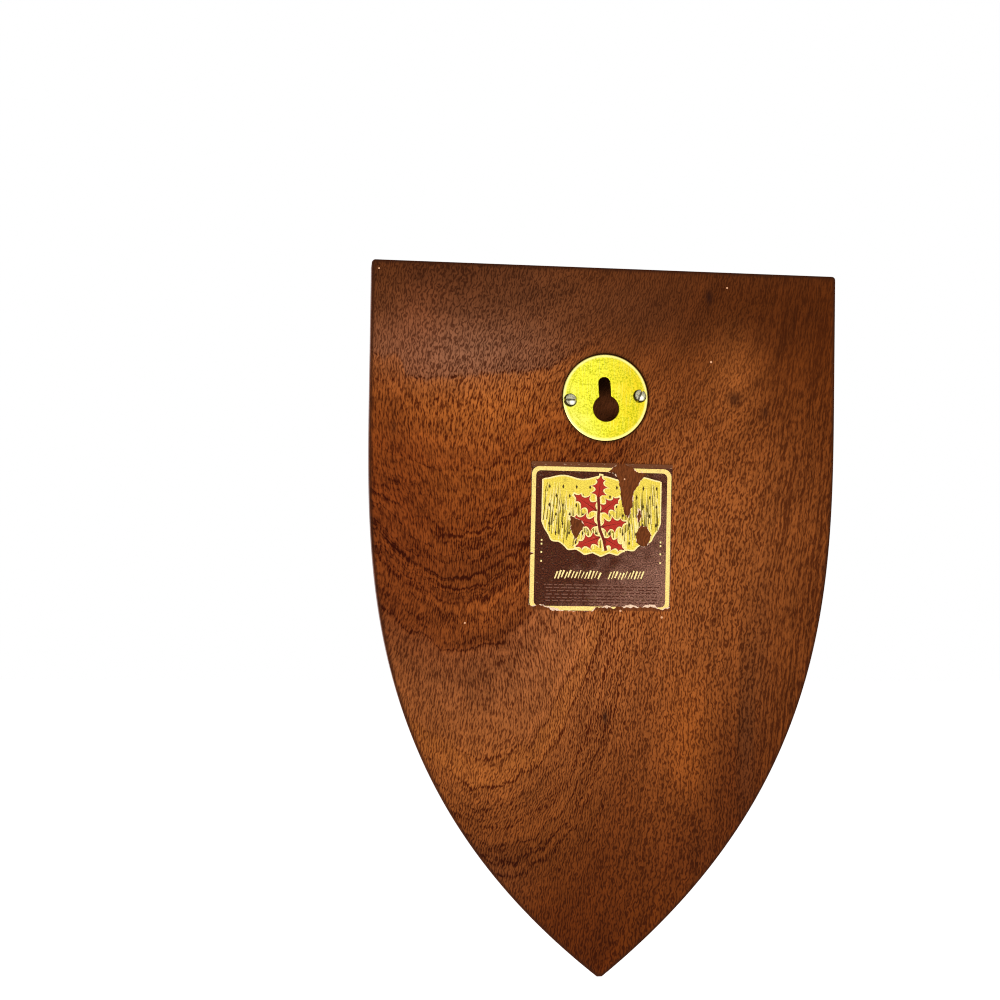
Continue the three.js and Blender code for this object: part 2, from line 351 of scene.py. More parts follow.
class Finish:
    """A material being made. Its constant values go straight onto the shader's own sockets."""

    def __init__(self, name, constants):
        self.material = bpy.data.materials.new(name)
        self.material.use_nodes = True
        self.tree = self.material.node_tree
        self.shader = self.tree.nodes["Principled BSDF"]
        for socket, value in constants.items():
            self.shader.inputs[socket].default_value = value

    def node(self, kind, settings, inputs, output=0):
        """Adds a node: its settings first, then the values or links of its sockets."""
        made = self.tree.nodes.new(kind)
        for name, value in settings.items():
            if name == "stops":
                self.set_stops(made.color_ramp, value)
            else:
                setattr(made, name, value)
        for key, value in inputs.items():
            self.feed(made.inputs[key], value)
        return Value(self, made.outputs[output])

    def set_stops(self, ramp, stops):
        """Gives a ramp its stops, from pairs of a place and a colour."""
        while len(ramp.elements) < len(stops):
            ramp.elements.new(1)
        for element, (place, tint) in zip(ramp.elements, stops):
            element.position = place
            element.color = (*tint, 1)

    def feed(self, socket, value):
        """Links a socket or sets its own value."""
        if isinstance(value, Value):
            self.tree.links.new(value.socket, socket)
        elif socket.type == "RGBA":
            socket.default_value = (*value[:3], 1)
        else:
            socket.default_value = value

    def maths(self, operation, *values):
        """Adds a Math node for numbers and values."""
        return self.node("ShaderNodeMath", {"operation": operation}, dict(enumerate(values)))

    def smooth(self, value, start, end):
        """Rises from 0 at the start to 1 at the end."""
        inputs = {"Value": value, "From Min": start, "From Max": end}
        return self.node("ShaderNodeMapRange", {"interpolation_type": "SMOOTHSTEP"}, inputs)

    def hill(self, value, width):
        """1 where the value is 0, and fading to nothing over the width."""
        return self.maths("EXPONENT", -((value / width) ** 2))

    def vector(self, x, y, z):
        """Joins three values, as a place or as the levels of a grey."""
        return self.node("ShaderNodeCombineXYZ", {}, {"X": x, "Y": y, "Z": z})

    def noise(self, x, y, z, detail=2, roughness=0.5):
        """Smooth noise from 0 to 1 in coordinates that are already scaled."""
        inputs = {"Vector": self.vector(x, y, z), "Scale": 1, "Detail": detail, "Roughness": roughness}
        return self.node("ShaderNodeTexNoise", {}, inputs)

    def mix(self, factor, first, second, blend="MIX"):
        """Goes from the first colour to the second."""
        settings = {"data_type": "RGBA", "blend_type": blend}
        return self.node("ShaderNodeMix", settings, {0: factor, 6: first, 7: second}, output=2)

    def ramp(self, value, stops):
        """A colour for each value from 0 to 1."""
        return self.node("ShaderNodeValToRGB", {"stops": stops}, {"Fac": value})

    def place(self):
        """Where a point is, in millimetres: across from the centre line to the right as seen from behind,
        down from the top edge, and deep from the back."""
        found = self.tree.nodes.new("ShaderNodeTexCoord").outputs["Object"]
        split = self.tree.nodes.new("ShaderNodeSeparateXYZ")
        self.tree.links.new(found, split.inputs[0])
        x, y, z = (Value(self, socket) for socket in split.outputs)
        return CENTRE_X - x / MM, TOP_Z - z / MM, -y / MM

    def shade(self, **links):
        """Feeds what varies over the surface into the shader, by socket name with underscores."""
        for name, value in links.items():
            self.feed(self.shader.inputs[name.replace("_", " ")], value)
        return self.material

    def relief(self, height, distance, strength):
        """A bump from a height of 0 to 1, in metres."""
        inputs = {"Height": height, "Distance": distance, "Strength": strength}
        return self.node("ShaderNodeBump", {}, inputs)


def from_point(across, down, x, z):
    """Across and down, measured from a point in x and z instead of the middle of the top edge."""
    return across - (CENTRE_X - x), down - (TOP_Z - z)


# Wood. Places are in millimetres across from the centre line to the right, and down from the top edge.

# Patches where the pores lean: across, down, half width, half height, degrees that their tops lean right
LEANS = [
    (0, 28, 46, 34, 16),
    (-63, 70, 20, 26, -18),
    (-23, 129, 17, 17, -16),
    (-27, 174, 24, 18, 17),
    (-62, 118, 18, 14, 10),
    (32, 150, 17, 18, -8),
]

# Degrees that the tops of all pores lean right besides
COMMON_LEAN = 6

# Distance from one dark hair of the pores to the next
PORE_SPACING = 1.06

# Thin dark growth lines: height of the line at the foot of its arc, and how dark it is
GROWTH_LINES = [
    (37.2, 0.35), (45.0, 0.3), (66.5, 0.45), (72.0, 0.2), (87.0, 0.5), (94.5, 0.25), (100.5, 0.75),
    (104.0, 0.4), (109.0, 0.5), (124.0, 0.6), (157.5, 0.35), (167.0, 0.7), (173.5, 0.35),
    (180.0, 0.55), (186.0, 0.4), (190.5, 0.7), (194.0, 0.55), (203.0, 0.3),
]
LINE_WIDTH = 0.4

# Colour of the wood by growth height, on the left where the arcs are wide
RING_REACH = 240
RING_TINTS = [
    (0, (104, 58, 38)), (22, (126, 74, 47)), (36.5, (136, 80, 51)), (38.5, (168, 92, 38)),
    (52, (156, 82, 32)), (65, (126, 60, 20)), (67, (134, 66, 22)), (86, (112, 51, 15)),
    (88, (122, 58, 19)), (100, (102, 46, 14)), (102, (118, 56, 18)), (108, (108, 50, 16)),
    (110, (122, 59, 20)), (123, (104, 49, 17)), (126, (118, 62, 30)), (140, (128, 70, 35)),
    (156, (137, 75, 36)), (159, (144, 79, 34)), (166, (144, 79, 34)), (169, (139, 75, 34)),
    (190, (138, 74, 32)), (215, (122, 61, 24)),
]

# Painted light: the middle of the back, kept lightest, with painted shade growing away from it towards the
# edges: across, down, half width, half height
PAINTED_LIT_MIDDLE = (-18, 98, 74, 72)

# What the wood's colour is multiplied by: in the painted shade towards the edges, in its pores, and between
# them
PAINTED_SHADE_TINT = (0.25, 0.16, 0.03)
SUNK = (0.28, 0.15, 0.08)
RAISED = (1.62, 1.8, 1.9)

# Broad patches of colour: across, down, half width, half height, strength, colour. The first, a dark band
# along the top edge, is painted shade.
PATCHES = [
    (0, -4, 120, 9, 0.7, (66, 31, 11)),
    (4, 13, 42, 13, 0.78, (78, 40, 19)),
    (46, 13, 36, 14, 0.8, (60, 23, 3)),
    (-50, 29, 28, 10, 0.3, (140, 92, 68)),
    (-62, 22, 10, 12, 0.25, (126, 66, 38)),
    (42, 36, 9, 14, 0.4, (142, 76, 32)),
    (-66, 82, 14, 36, 0.6, (96, 38, 9)),
    (28, 150, 8, 18, 0.35, (146, 72, 22)),
    (44, 168, 10, 24, 0.6, (66, 25, 5)),
    (28, 188, 13, 13, 0.5, (74, 30, 7)),
    (-52, 92, 22, 34, 0.4, (90, 38, 8)),
    (48, 78, 26, 24, 0.25, (142, 75, 32)),
    (-38, 160, 16, 14, 0.35, (146, 78, 32)),
    (-5, 125, 16, 26, 0.35, (132, 71, 34)),
    (47.5, 148, 3, 26, 0.6, (70, 34, 14)),
    (52, 118, 4, 30, 0.3, (84, 42, 18)),
    (-40, 196, 14, 10, 0.35, (92, 50, 28)),
]

# Small dark marks and knots: across, down, half width, half height, strength
MARKS = [
    (33.4, 8.3, 1.1, 2.2, 1.0),
    (42.1, 41.0, 2.2, 2.3, 0.8),
    (52.6, 45.6, 1.1, 2.0, 0.6),
    (0.7, 144.6, 0.9, 2.2, 1.0),
    (-68.3, 53.1, 1.0, 1.6, 0.45),
]

# Specks of paper and dust on the wood: across, down, radius
SPECKS = [
    (39.4, 5.1, 0.35), (34.3, 29.5, 0.42), (-73.9, 2.9, 0.3), (-44.9, 114.8, 0.34),
    (6.1, 68.2, 0.32), (5.3, 110.6, 0.42), (18.9, 112.6, 0.42),
]

# Colours of the small things on the wood
KNOT = linear(44, 18, 8)
GLUE = linear(112, 58, 26)
GLUE_IN_PORES = linear(62, 28, 12)
SPECK = linear(214, 160, 120)
# Painted shadow in a ring round the plate's seat
PAINTED_SEAT_SHADOW = linear(46, 28, 8)
# Painted shade along the board's edge behind
PAINTED_RIM_SHADE = linear(52, 24, 10)
POCKET_SHADE = linear(52, 26, 10)
# Painted light on the pocket's floor
PAINTED_POCKET_LIGHT = linear(122, 66, 36)
STAIN_IN_PORES = linear(44, 16, 6)
# Stain and painted shade in the moulding's corners
CORNER_STAIN_AND_SHADE = linear(46, 20, 10)


def ring_height(finish, across, down, deep):
    """Height of the growth ring at a point, how steep its arc is there, and how far right of the arcs' axis
    the point is. The arcs open upwards, gently on the right and steeply on the left."""
    axis = -50 + 0.19 * finish.maths("MAXIMUM", down - 100, 0)
    aside = across - axis
    right = finish.maths("MAXIMUM", aside, 0)
    left = finish.maths("MINIMUM", aside, 0)
    bend = 0.004 + 0.018 * finish.smooth(down, 20, 120)
    climb = right * right * (bend + 0.00005 * right)
    fall = (0.1 + 0.7 * finish.smooth(down, 40, 90)) * (finish.maths("SQRT", left * left + 36) - 6)
    sway = 7 * (finish.noise(across / 17, down / 21, deep / 24, 1) - 0.5)
    waver = 5.5 * (finish.noise(across / 5, down / 12, deep / 9, 1) - 0.5)
    jag = 2.4 * (finish.noise(across / 1.3, down / 6, deep / 3, 1) - 0.5)
    slope = finish.maths("SQRT", 1 + (2 * bend * right) ** 2)
    step = 6 * finish.smooth(across, -64.6, -66.4) * finish.smooth(down, 60, 45)
    return down + climb + fall + sway + waver + jag + step + 1.2 * deep, slope, right


def fibre(finish, across, down, deep):
    """Across, bent so that it stays the same along a fibre of the wood."""
    bent = across + math.tan(math.radians(COMMON_LEAN)) * down
    for lean_across, lean_down, width, height, degrees in LEANS:
        pull = math.tan(math.radians(degrees)) * height
        along = finish.maths("TANH", (down - lean_down) / height)
        bent = bent + pull * along * finish.hill(across - lean_across, width)
    return bent + 2.2 * (finish.noise(across / 12, down / 18, deep / 12, 1) - 0.5)


def patch(finish, across, down, place):
    """A soft oval that is 1 in its middle."""
    centre_across, centre_down, width, height = place
    far = ((across - centre_across) / width) ** 2 + ((down - centre_down) / height) ** 2
    return finish.maths("EXPONENT", -far)


def pores(finish, bent, across, down, deep, rings, denser):
    """How dark the pores are, from 0 to 1: wavy dark hairs side by side, broken up and bunched."""
    left = finish.smooth(across, 14, -6)
    stipple = left * finish.smooth(rings, 39, 35)
    stipple = stipple + 0.4 * finish.hill(across - 5, 26) * finish.hill(down - 140, 34)
    straight = finish.smooth(across, 42, 62)
    upright = left * finish.smooth(rings, 38, 46) * finish.smooth(rings, 170, 130)
    calm = finish.maths("MAXIMUM", straight, upright)
    stray = 2.4 * (1 - 0.2 * calm + 0.2 * stipple)
    wander = stray * (finish.noise(across / 1.3, down / 2.4, deep / 1.3, 1, 0.5) - 0.5)
    hair = finish.maths("SINE", 2 * math.pi * (bent / PORE_SPACING + deep / 2 + wander))
    grit = finish.noise(bent / 0.42, down / 1.5, deep / 0.42, 1, 0.5) - 0.5
    clump = finish.noise(bent / 2.4, down / 3.2, deep / 2.4, 1, 0.5) - 0.5
    strand = finish.noise(bent / 0.6 + 40, down / 3.4, deep / 0.6, 1, 0.5) - 0.5
    tone = 0.49 + (0.18 - 0.09 * calm) * hair + 0.86 * (1 - 0.4 * straight) * grit
    tone = tone + 0.3 * (1 - 0.6 * stipple) * clump
    tone = tone + (0.2 + 0.8 * calm) * strand
    long = finish.noise(bent / 0.9 + 80, down / 60, deep / 1.1, 1, 0.4)
    streaks = straight * finish.smooth(long, 0.5, 0.38)
    return finish.maths("MINIMUM", finish.smooth(tone - 1.3 * denser, 0.69, 0.23) + 0.55 * streaks, 1)


def pore_strength(finish, settings, across, down, rings, painted_shade):
    """How dark the pores can get: fainter in the painted shade towards the edges, stronger in the orange
    band.
    """
    dim = finish.smooth(across, -30, -55) * finish.hill(down - 88, 44)
    faint = 0.2 + 0.22 * finish.smooth(down, 56, 24)
    strength = settings.pore_strength * (1 - faint * painted_shade) * (1 - 0.12 * dim)
    return strength * (1 + 0.2 * finish.smooth(rings, 66, 50) * finish.smooth(across, 2, -20))


def bare_wood(finish, settings, across, down, rings, painted_shade):
    """The wood's colour before its grain: by growth ring at the left, even at the right, with patches, and
    darkened by painted shade away from the middle.
    """
    reach = [(height / RING_REACH, linear(*tint)) for height, tint in RING_TINTS]
    arcs = finish.ramp(rings / RING_REACH, reach)
    edge = across + 24 * finish.smooth(down, 60, 42)
    ground = finish.mix(finish.smooth(edge, -4, 26), arcs, settings.ground)
    # Painted shade: the wood darkens away from the middle of the back
    ground = finish.mix(painted_shade, ground, finish.mix(1, ground, PAINTED_SHADE_TINT, "MULTIPLY"))
    for *place, strength, tint in PATCHES:
        ground = finish.mix(strength * patch(finish, across, down, place), ground, linear(*tint))
    return ground


def growth_lines(finish, across, down, deep, rings, slope, right, hairs):
    """How dark the growth lines are, from 0 to 1: the main ones, and the fine ones nested between them."""
    line = 0
    for height, strength in GROWTH_LINES:
        line = line + strength * finish.hill((rings - height) / slope, LINE_WIDTH)
    nested = finish.hill(rings - 98, 26) + 0.6 * finish.hill(rings - 182, 18)
    line = line + 0.6 * nested * finish.hill(hairs, 0.045)
    line = line * (1 - 0.75 * finish.smooth(rings, 140, 160) * finish.smooth(across, -44, -58))
    broken = finish.smooth(finish.noise(across / 7, down / 7, deep / 7, 1), 0.3, 0.62)
    return finish.maths("MINIMUM", line, 1) * finish.smooth(right, 72, 36) * (0.55 + 0.45 * broken)


def marked(finish, tint, across, down, deep, pore, label):
    """Adds the knots, the glue that the label has left and the specks of paper."""
    for *place, strength in MARKS:
        tint = finish.mix(strength * patch(finish, across, down, place), tint, KNOT)
    behind = finish.smooth(deep, 0.2, 0.02)
    residue = finish.mix(0.6 * pore, GLUE, GLUE_IN_PORES)
    tint = finish.mix(glued(finish, across, down, label) * behind, tint, residue)
    for centre_across, centre_down, radius in SPECKS:
        near = patch(finish, across, down, (centre_across, centre_down, radius, radius))
        tint = finish.mix(finish.smooth(near, 0.35, 0.6) * behind, tint, SPECK)
    return tint


def seated(finish, tint, down, deep, pore, seat):
    """Adds the painted shadow round the seat of the plate, the painted shade along the rim, and the painted
    shade and painted light in the pocket.
    """
    # Painted shadow in a ring round the plate's seat
    tint = finish.mix(0.6 * seat, tint, PAINTED_SEAT_SHADOW)
    rim = finish.node("ShaderNodeAttribute", {"attribute_name": "rim"}, {}, output="Fac")
    # Painted shade along the board's edge behind
    tint = finish.mix(0.8 * rim ** 2 * finish.smooth(deep, 1.5, 0.5), tint, PAINTED_RIM_SHADE)
    pocket = finish.smooth(deep, 5, 8.5) * seat
    # Painted shade in the pocket towards the slot, and painted light on its floor lower down
    lit = finish.smooth(down, 37, 45)
    tint = finish.mix(pocket * (1 - lit), tint, POCKET_SHADE)
    return finish.mix(pocket * lit * (1 - 0.5 * pore), tint, PAINTED_POCKET_LIGHT)


def polished(finish, settings, tint, deep, pore, polish):
    """Adds the stain of the polished sides and front, and stain with painted shade in the corners of the
    moulding.
    """
    stained = finish.mix(0.7 * pore, settings.edge, STAIN_IN_PORES)
    tint = finish.mix(0.55 * polish, tint, stained)
    quirk_foot = THICKNESS - settings.quirk / MM
    ledge = quirk_foot - settings.moulding_depth / MM
    # Stain and painted shade gathered in the corners of the moulding
    corner_stain_and_shade = 0.8 * finish.hill(deep - quirk_foot - 0.15, 0.3) + 0.6 * finish.hill(deep - ledge, 0.25)
    return finish.mix(corner_stain_and_shade, tint, CORNER_STAIN_AND_SHADE)


def wood(name, settings, label):
    """Mahogany: dark pores, wavy growth lines, patches of colour, glue where the label has gone."""
    finish = Finish(name, {"Specular IOR Level": 0.03, "Coat Roughness": 0.16, "Coat IOR": 1.5})
    across, down, deep = finish.place()
    rings, slope, right = ring_height(finish, across, down, deep)
    bent = fibre(finish, across, down, deep)

    # Painted shade: 1 away from the middle of the back, where the wood is darkened
    painted_shade = 1 - patch(finish, across, down, PAINTED_LIT_MIDDLE)
    ground = bare_wood(finish, settings, across, down, rings, painted_shade)

    streak = finish.noise(rings / 7, across / 60, down / 90, 2, 0.6) - 0.5
    hairs = finish.noise(rings / 2.6, across / 40, down / 60, 1, 0.5) - 0.5
    cloud = finish.noise(across / 9, down / 13, deep / 9, 2, 0.5) - 0.5
    fleece = finish.noise(bent / 1.6, down / 16, deep / 1.6, 1) - 0.5
    level = 1 + 0.55 * streak + 0.3 * hairs + 0.3 * cloud + 0.35 * fleece
    ground = finish.mix(1, ground, finish.vector(level, level, level), "MULTIPLY")

    line = growth_lines(finish, across, down, deep, rings, slope, right, hairs)
    denser = 0.07 * line - 0.09 * streak - 0.06 * cloud
    strength = pore_strength(finish, settings, across, down, rings, painted_shade)
    pore = strength * pores(finish, bent, across, down, deep, rings, denser)
    pore = finish.maths("MINIMUM", pore + 0.7 * line, 1)
    sunk = finish.mix(1, ground, SUNK, "MULTIPLY")
    raised = finish.mix(1, ground, RAISED, "MULTIPLY")
    tint = marked(finish, finish.mix(pore, raised, sunk), across, down, deep, pore, label)

    aside, below = from_point(across, down, PLATE_X, PLATE_Z)
    far = finish.maths("SQRT", aside ** 2 + below ** 2)
    seat = finish.smooth(far, PLATE_RADIUS + 1.3, PLATE_RADIUS + 0.2) * finish.smooth(deep, 12, 10)
    polish = finish.smooth(deep, 0.03, 0.6) * (1 - seat)
    tint = seated(finish, tint, down, deep, pore, seat)
    tint = polished(finish, settings, tint, deep, pore, polish)
    rough = 0.6 - 0.25 * polish + 0.1 * pore
    bump = finish.relief(1 - pore * (1 - 0.85 * polish), 0.00008, 0.6)
    return finish.shade(Base_Color=tint, Roughness=rough, Coat_Weight=0.45 * polish, Normal=bump)


def glued(finish, across, down, label):
    """The dark film of glue that the label leaves where it has torn away."""
    turned = math.radians(label["degrees"])
    aside, below = from_point(across, down, label["x"], label["z"])
    along = aside * math.cos(turned) + below * math.sin(turned)
    under = below * math.cos(turned) - aside * math.sin(turned)
    fray = 1.3 * (finish.noise(across / 1.6, down / 1.6, 0, 2) - 0.5)
    side = finish.smooth(finish.maths("ABSOLUTE", along) - label["width"] / 2 + fray, 0.1, -0.25)
    foot = finish.smooth(under - label["height"] + fray, -0.2, -0.6)
    head = finish.smooth(under + 0.6 * fray, -0.05, 0.3)
    return side * foot * head


# Colours of the brass away from its main one, among them painted light on its lower left and a painted
# highlight at its rim
PAINTED_LIGHT_BRASS = linear(246, 238, 130)
GREENISH_BRASS = linear(222, 224, 44)
BRUSHED_BRASS = linear(255, 250, 130)
PAINTED_RIM_HIGHLIGHT = linear(255, 240, 156)
BRASS_UNDERSIDE = linear(120, 96, 20)


def brass(name, settings):
    """Lacquered brass: mottled, with painted light on its lower left and a painted highlight at its rim,
    golden towards the right.
    """
    finish = Finish(name, {"Metallic": 1.0, "Specular IOR Level": 0.5})
    across, down, deep = finish.place()
    aside, below = from_point(across, down, PLATE_X, PLATE_Z)
    far = finish.maths("SQRT", aside * aside + below * below)
    cloud = finish.noise(across / 3.2, down / 3.2, deep, 2, 0.6)
    gold = finish.smooth(aside + 9 * (cloud - 0.5), -5, 10)
    tint = finish.mix(gold, settings.brass, settings.brass_gold)
    # Painted light: paler towards the lower left of the plate
    painted_light = finish.smooth(0.5 * below - 0.8 * aside + 5 * (cloud - 0.5), 4, 12)
    tint = finish.mix(0.5 * painted_light, tint, PAINTED_LIGHT_BRASS)
    fleck = finish.noise(across / 0.6, down / 0.66, deep, 2, 0.7)
    where = finish.smooth(finish.noise(across / 3.4, down / 3.4, deep + 9, 2), 0.36, 0.62)
    dull = finish.smooth(fleck, 0.4, 0.66) * (0.5 + 0.5 * where) * (1 - 0.35 * painted_light)
    tint = finish.mix(0.35 * where, tint, GREENISH_BRASS)
    tint = finish.mix(0.9 * dull, tint, settings.brass_stain)
    brushed = finish.noise(across / 0.25, down / 9, deep, 1) - 0.5
    tint = finish.mix(finish.smooth(brushed, 0.02, 0.3) * 0.4, tint, BRUSHED_BRASS)
    turned = finish.noise(far / 0.32, aside / 6, below / 6, 1, 0.5)
    lines = finish.smooth(turned, 0.5, 0.66) * finish.smooth(far, 8, 12)
    tint = finish.mix(0.5 * lines, tint, settings.brass_stain)
    # Painted highlight along the plate's rim
    rim = finish.smooth(far, PLATE_RADIUS - 1.3, PLATE_RADIUS - 0.5)
    tint = finish.mix(0.7 * rim, tint, PAINTED_RIM_HIGHLIGHT)
    under = finish.smooth(deep, 0.5, 1.0)
    tint = finish.mix(0.7 * under, tint, BRASS_UNDERSIDE)
    rough = 0.4 + 0.15 * dull - 0.1 * rim
    bump = finish.relief(fleck + brushed, 0.00003, 0.35)
    return finish.shade(Base_Color=tint, Roughness=rough, Normal=bump)


# Colours of the steel away from its main one, among them a painted glint, a painted shadow round each head
# and painted shade in the slot
DULL_STEEL = linear(92, 88, 74)
STEEL_GLINT = linear(255, 250, 226)
# Painted shadow round each head's lower left
PAINTED_HEAD_SHADOW = linear(40, 34, 16)
# Painted shade in the slot
PAINTED_SLOT_SHADE = linear(52, 46, 34)


def steel(name, settings):
    """Plain steel, dull in patches, with a painted glint towards the lower right of each head, a painted
    shadow round its lower left, and painted shade in the slot.
    """
    finish = Finish(name, {"Metallic": 1.0})
    across, down, deep = finish.place()
    grain = finish.noise(across / 0.5, down / 0.5, deep / 0.5, 3, 0.6)
    dull = finish.smooth(grain, 0.46, 0.66)
    sunk = finish.smooth(deep, 0.14, 0.42)
    middle, glint = 99, 99
    for side in SCREW_NODES:
        aside, below = from_point(across, down, *screw_place(side))
        # Painted shadow: each head darkens away from a middle a little up and right of its centre, so round
        # its lower left
        far = finish.maths("SQRT", (aside - 0.34) ** 2 + (below + 0.2) ** 2)
        middle = finish.maths("MINIMUM", middle, far)
        # Painted glint: a bright spot a little below and right of each screw's centre
        far = finish.maths("SQRT", (aside - 0.5) ** 2 + (below - 0.75) ** 2)
        glint = finish.maths("MINIMUM", glint, far)
    tint = finish.mix(0.7 * dull, settings.steel, DULL_STEEL)
    tint = finish.mix(finish.smooth(glint, 1.1, 0.3), tint, STEEL_GLINT)
    # Painted shadow round each head's lower left
    tint = finish.mix(finish.smooth(middle, 1.72, 2.0), tint, PAINTED_HEAD_SHADOW)
    # Painted shade deep in the slot
    tint = finish.mix(0.8 * sunk, tint, PAINTED_SLOT_SHADE)
    rough = 0.34 + 0.2 * dull
    return finish.shade(Base_Color=tint, Roughness=rough)


# Colours of the worn paper, and what its ink is multiplied by where it is thick and where it is thin
PAPER_MARGIN = linear(108, 62, 34)
PAPER_SOIL = linear(96, 70, 30)
THICK_INK = (0.36, 0.32, 0.3)
THIN_INK = (1.75, 1.8, 1.85)


def printed_paper(name, settings, label):
    """Printed and varnished paper: the ink of each face, worn and rubbed, its ground lighter towards the
    lower right.
    """
    finish = Finish(name, {"Specular IOR Level": 0.08})
    across, down, _ = finish.place()
    ink = finish.node("ShaderNodeAttribute", {"attribute_name": "ink"}, {}, output="Color")
    kind = finish.node("ShaderNodeAttribute", {"attribute_name": "ground"}, {}, output="Fac")
    aside, below = from_point(across, down, label["x"], label["z"])
    aside = aside / label["width"]
    below = below / label["height"]
    cloud = finish.noise(across / 4, down / 4, 3, 3, 0.6)
    # The ground turns lighter, towards the bloom colour, towards the lower right
    fade = finish.smooth(0.8 * aside + 0.7 * below + 0.9 * (cloud - 0.5), 0.3, 1.0)
    lightened = finish.mix(fade * kind, ink, settings.bloom)
    grit = finish.noise(across / 0.42, down / 0.36, 0, 1, 0.6)
    darker = finish.mix(1, lightened, THICK_INK, "MULTIPLY")
    lighter = finish.mix(1, lightened, THIN_INK, "MULTIPLY")
    tint = finish.mix(finish.smooth(grit, 0.52, 0.36) * (0.35 + 0.6 * kind), lightened, darker)
    tint = finish.mix(finish.smooth(grit, 0.52, 0.66) * (0.2 + 0.8 * kind), tint, lighter)
    rubbed = finish.smooth(finish.noise(across / 1.6, down / 0.6, 5, 3, 0.7), 0.6, 0.72)
    worn_top = finish.smooth(below, 0.14, 0.02)
    margin = finish.smooth(below, 0.034, 0.024)
    tint = finish.mix(0.75 * margin, tint, PAPER_MARGIN)
    tint = finish.mix((0.15 + 0.45 * worn_top) * rubbed, tint, settings.core)
    soil = finish.smooth(finish.noise(across / 2, down / 2, 8, 3, 0.6), 0.56, 0.72)
    tint = finish.mix(0.28 * soil, tint, PAPER_SOIL)
    bump = finish.relief(grit + 2 * cloud, 0.00004, 0.5)
    rough = 0.48 + 0.12 * grit
    return finish.shade(Base_Color=tint, Roughness=rough, Normal=bump)


# Board

# From the top edge to where the two curves of the outline would meet, below the worn tip
HEIGHT_TO_POINT = 228

# How much the moulding's corners, the seat's lip and the foot of the pocket are eased
MOULDING_EASE = 0.25
SEAT_EASE = 0.1
POCKET_EASE = 0.4

# Where the middle of an eased corner lies, as a share of the ease
EASE_BEND = 0.3

SIDE_STEPS = 96
CORNER_STEPS = 8
ARRIS_STEPS = 6
MOULDING_STEPS = 18
ROUND_SIDES = 144
PILOT_SIDES = 24

# Times that the search for the end of a curve halves its range
HALVINGS = 40


def cubic(corners, t):
    """Point and unit direction on a cubic curve."""
    a, b, c, d = corners
    s = 1 - t
    point = a * s**3 + b * 3 * s * s * t + c * 3 * s * t * t + d * t**3
    along = (b - a) * s * s + (c - b) * 2 * s * t + (d - c) * t * t
    return point, along.normalized()


def board_outline(settings, inset):
    """The shield's outline a distance inside its true edge, from one top corner by the tip to the other."""
    half_width = (board_high.x - board_low.x) / 2
    tip = settings.tip_half_angle
    shoulder = settings.shoulder / MM
    corners = [
        Vector((half_width, -shoulder)),
        Vector((half_width, -shoulder - settings.side_pull / MM)),
        Vector((math.sin(tip), math.cos(tip))) * (settings.tip_pull / MM) - Vector((0, HEIGHT_TO_POINT)),
        Vector((0, -HEIGHT_TO_POINT)),
    ]

    def at(t):
        point, along = cubic(corners, t)
        return point + inset * Vector((along.y, -along.x))

    before, after = 0.5, 1.0
    for _ in range(HALVINGS):
        middle = (before + after) / 2
        if at(middle).x > settings.tip_blunt / MM:
            before = middle
        else:
            after = middle
    full = settings.corner_radius / MM
    radius = max(full - inset, full / 10)
    centre = Vector((half_width - inset - radius, -inset - radius))
    half = [centre + radius * Vector((sine, cosine)) for sine, cosine in quarter(CORNER_STEPS)]
    half += [at(before * i / SIDE_STEPS) for i in range(SIDE_STEPS + 1)]
    whole = half + [Vector((-point.x, point.y)) for point in reversed(half)]
    return [(CENTRE_X + point.x, TOP_Z + point.y) for point in whole]


def eased_corner(inset, height):
    """A step in the edge's profile, with its sharp corner eased."""
    shares = (0, 1), (EASE_BEND, EASE_BEND), (1, 0)
    return [(inset + MOULDING_EASE * inward, height + MOULDING_EASE * up) for inward, up in shares]


def edge_profile(settings):
    """The board's edge from the back round to the front, as pairs of inset and height."""
    arris = settings.arris / MM
    profile = [(arris * (1 - sine), -arris * (1 - cosine)) for sine, cosine in quarter(ARRIS_STEPS)]
    fillet = settings.fillet / MM
    width = settings.moulding_width / MM
    depth = settings.moulding_depth / MM
    ledge = -THICKNESS + settings.quirk / MM + depth
    profile += eased_corner(0, ledge)
    for sine, cosine in quarter(MOULDING_STEPS):
        profile.append((fillet + width * (1 - cosine), ledge - depth * sine))
    return profile + eased_corner(fillet + width, -THICKNESS)


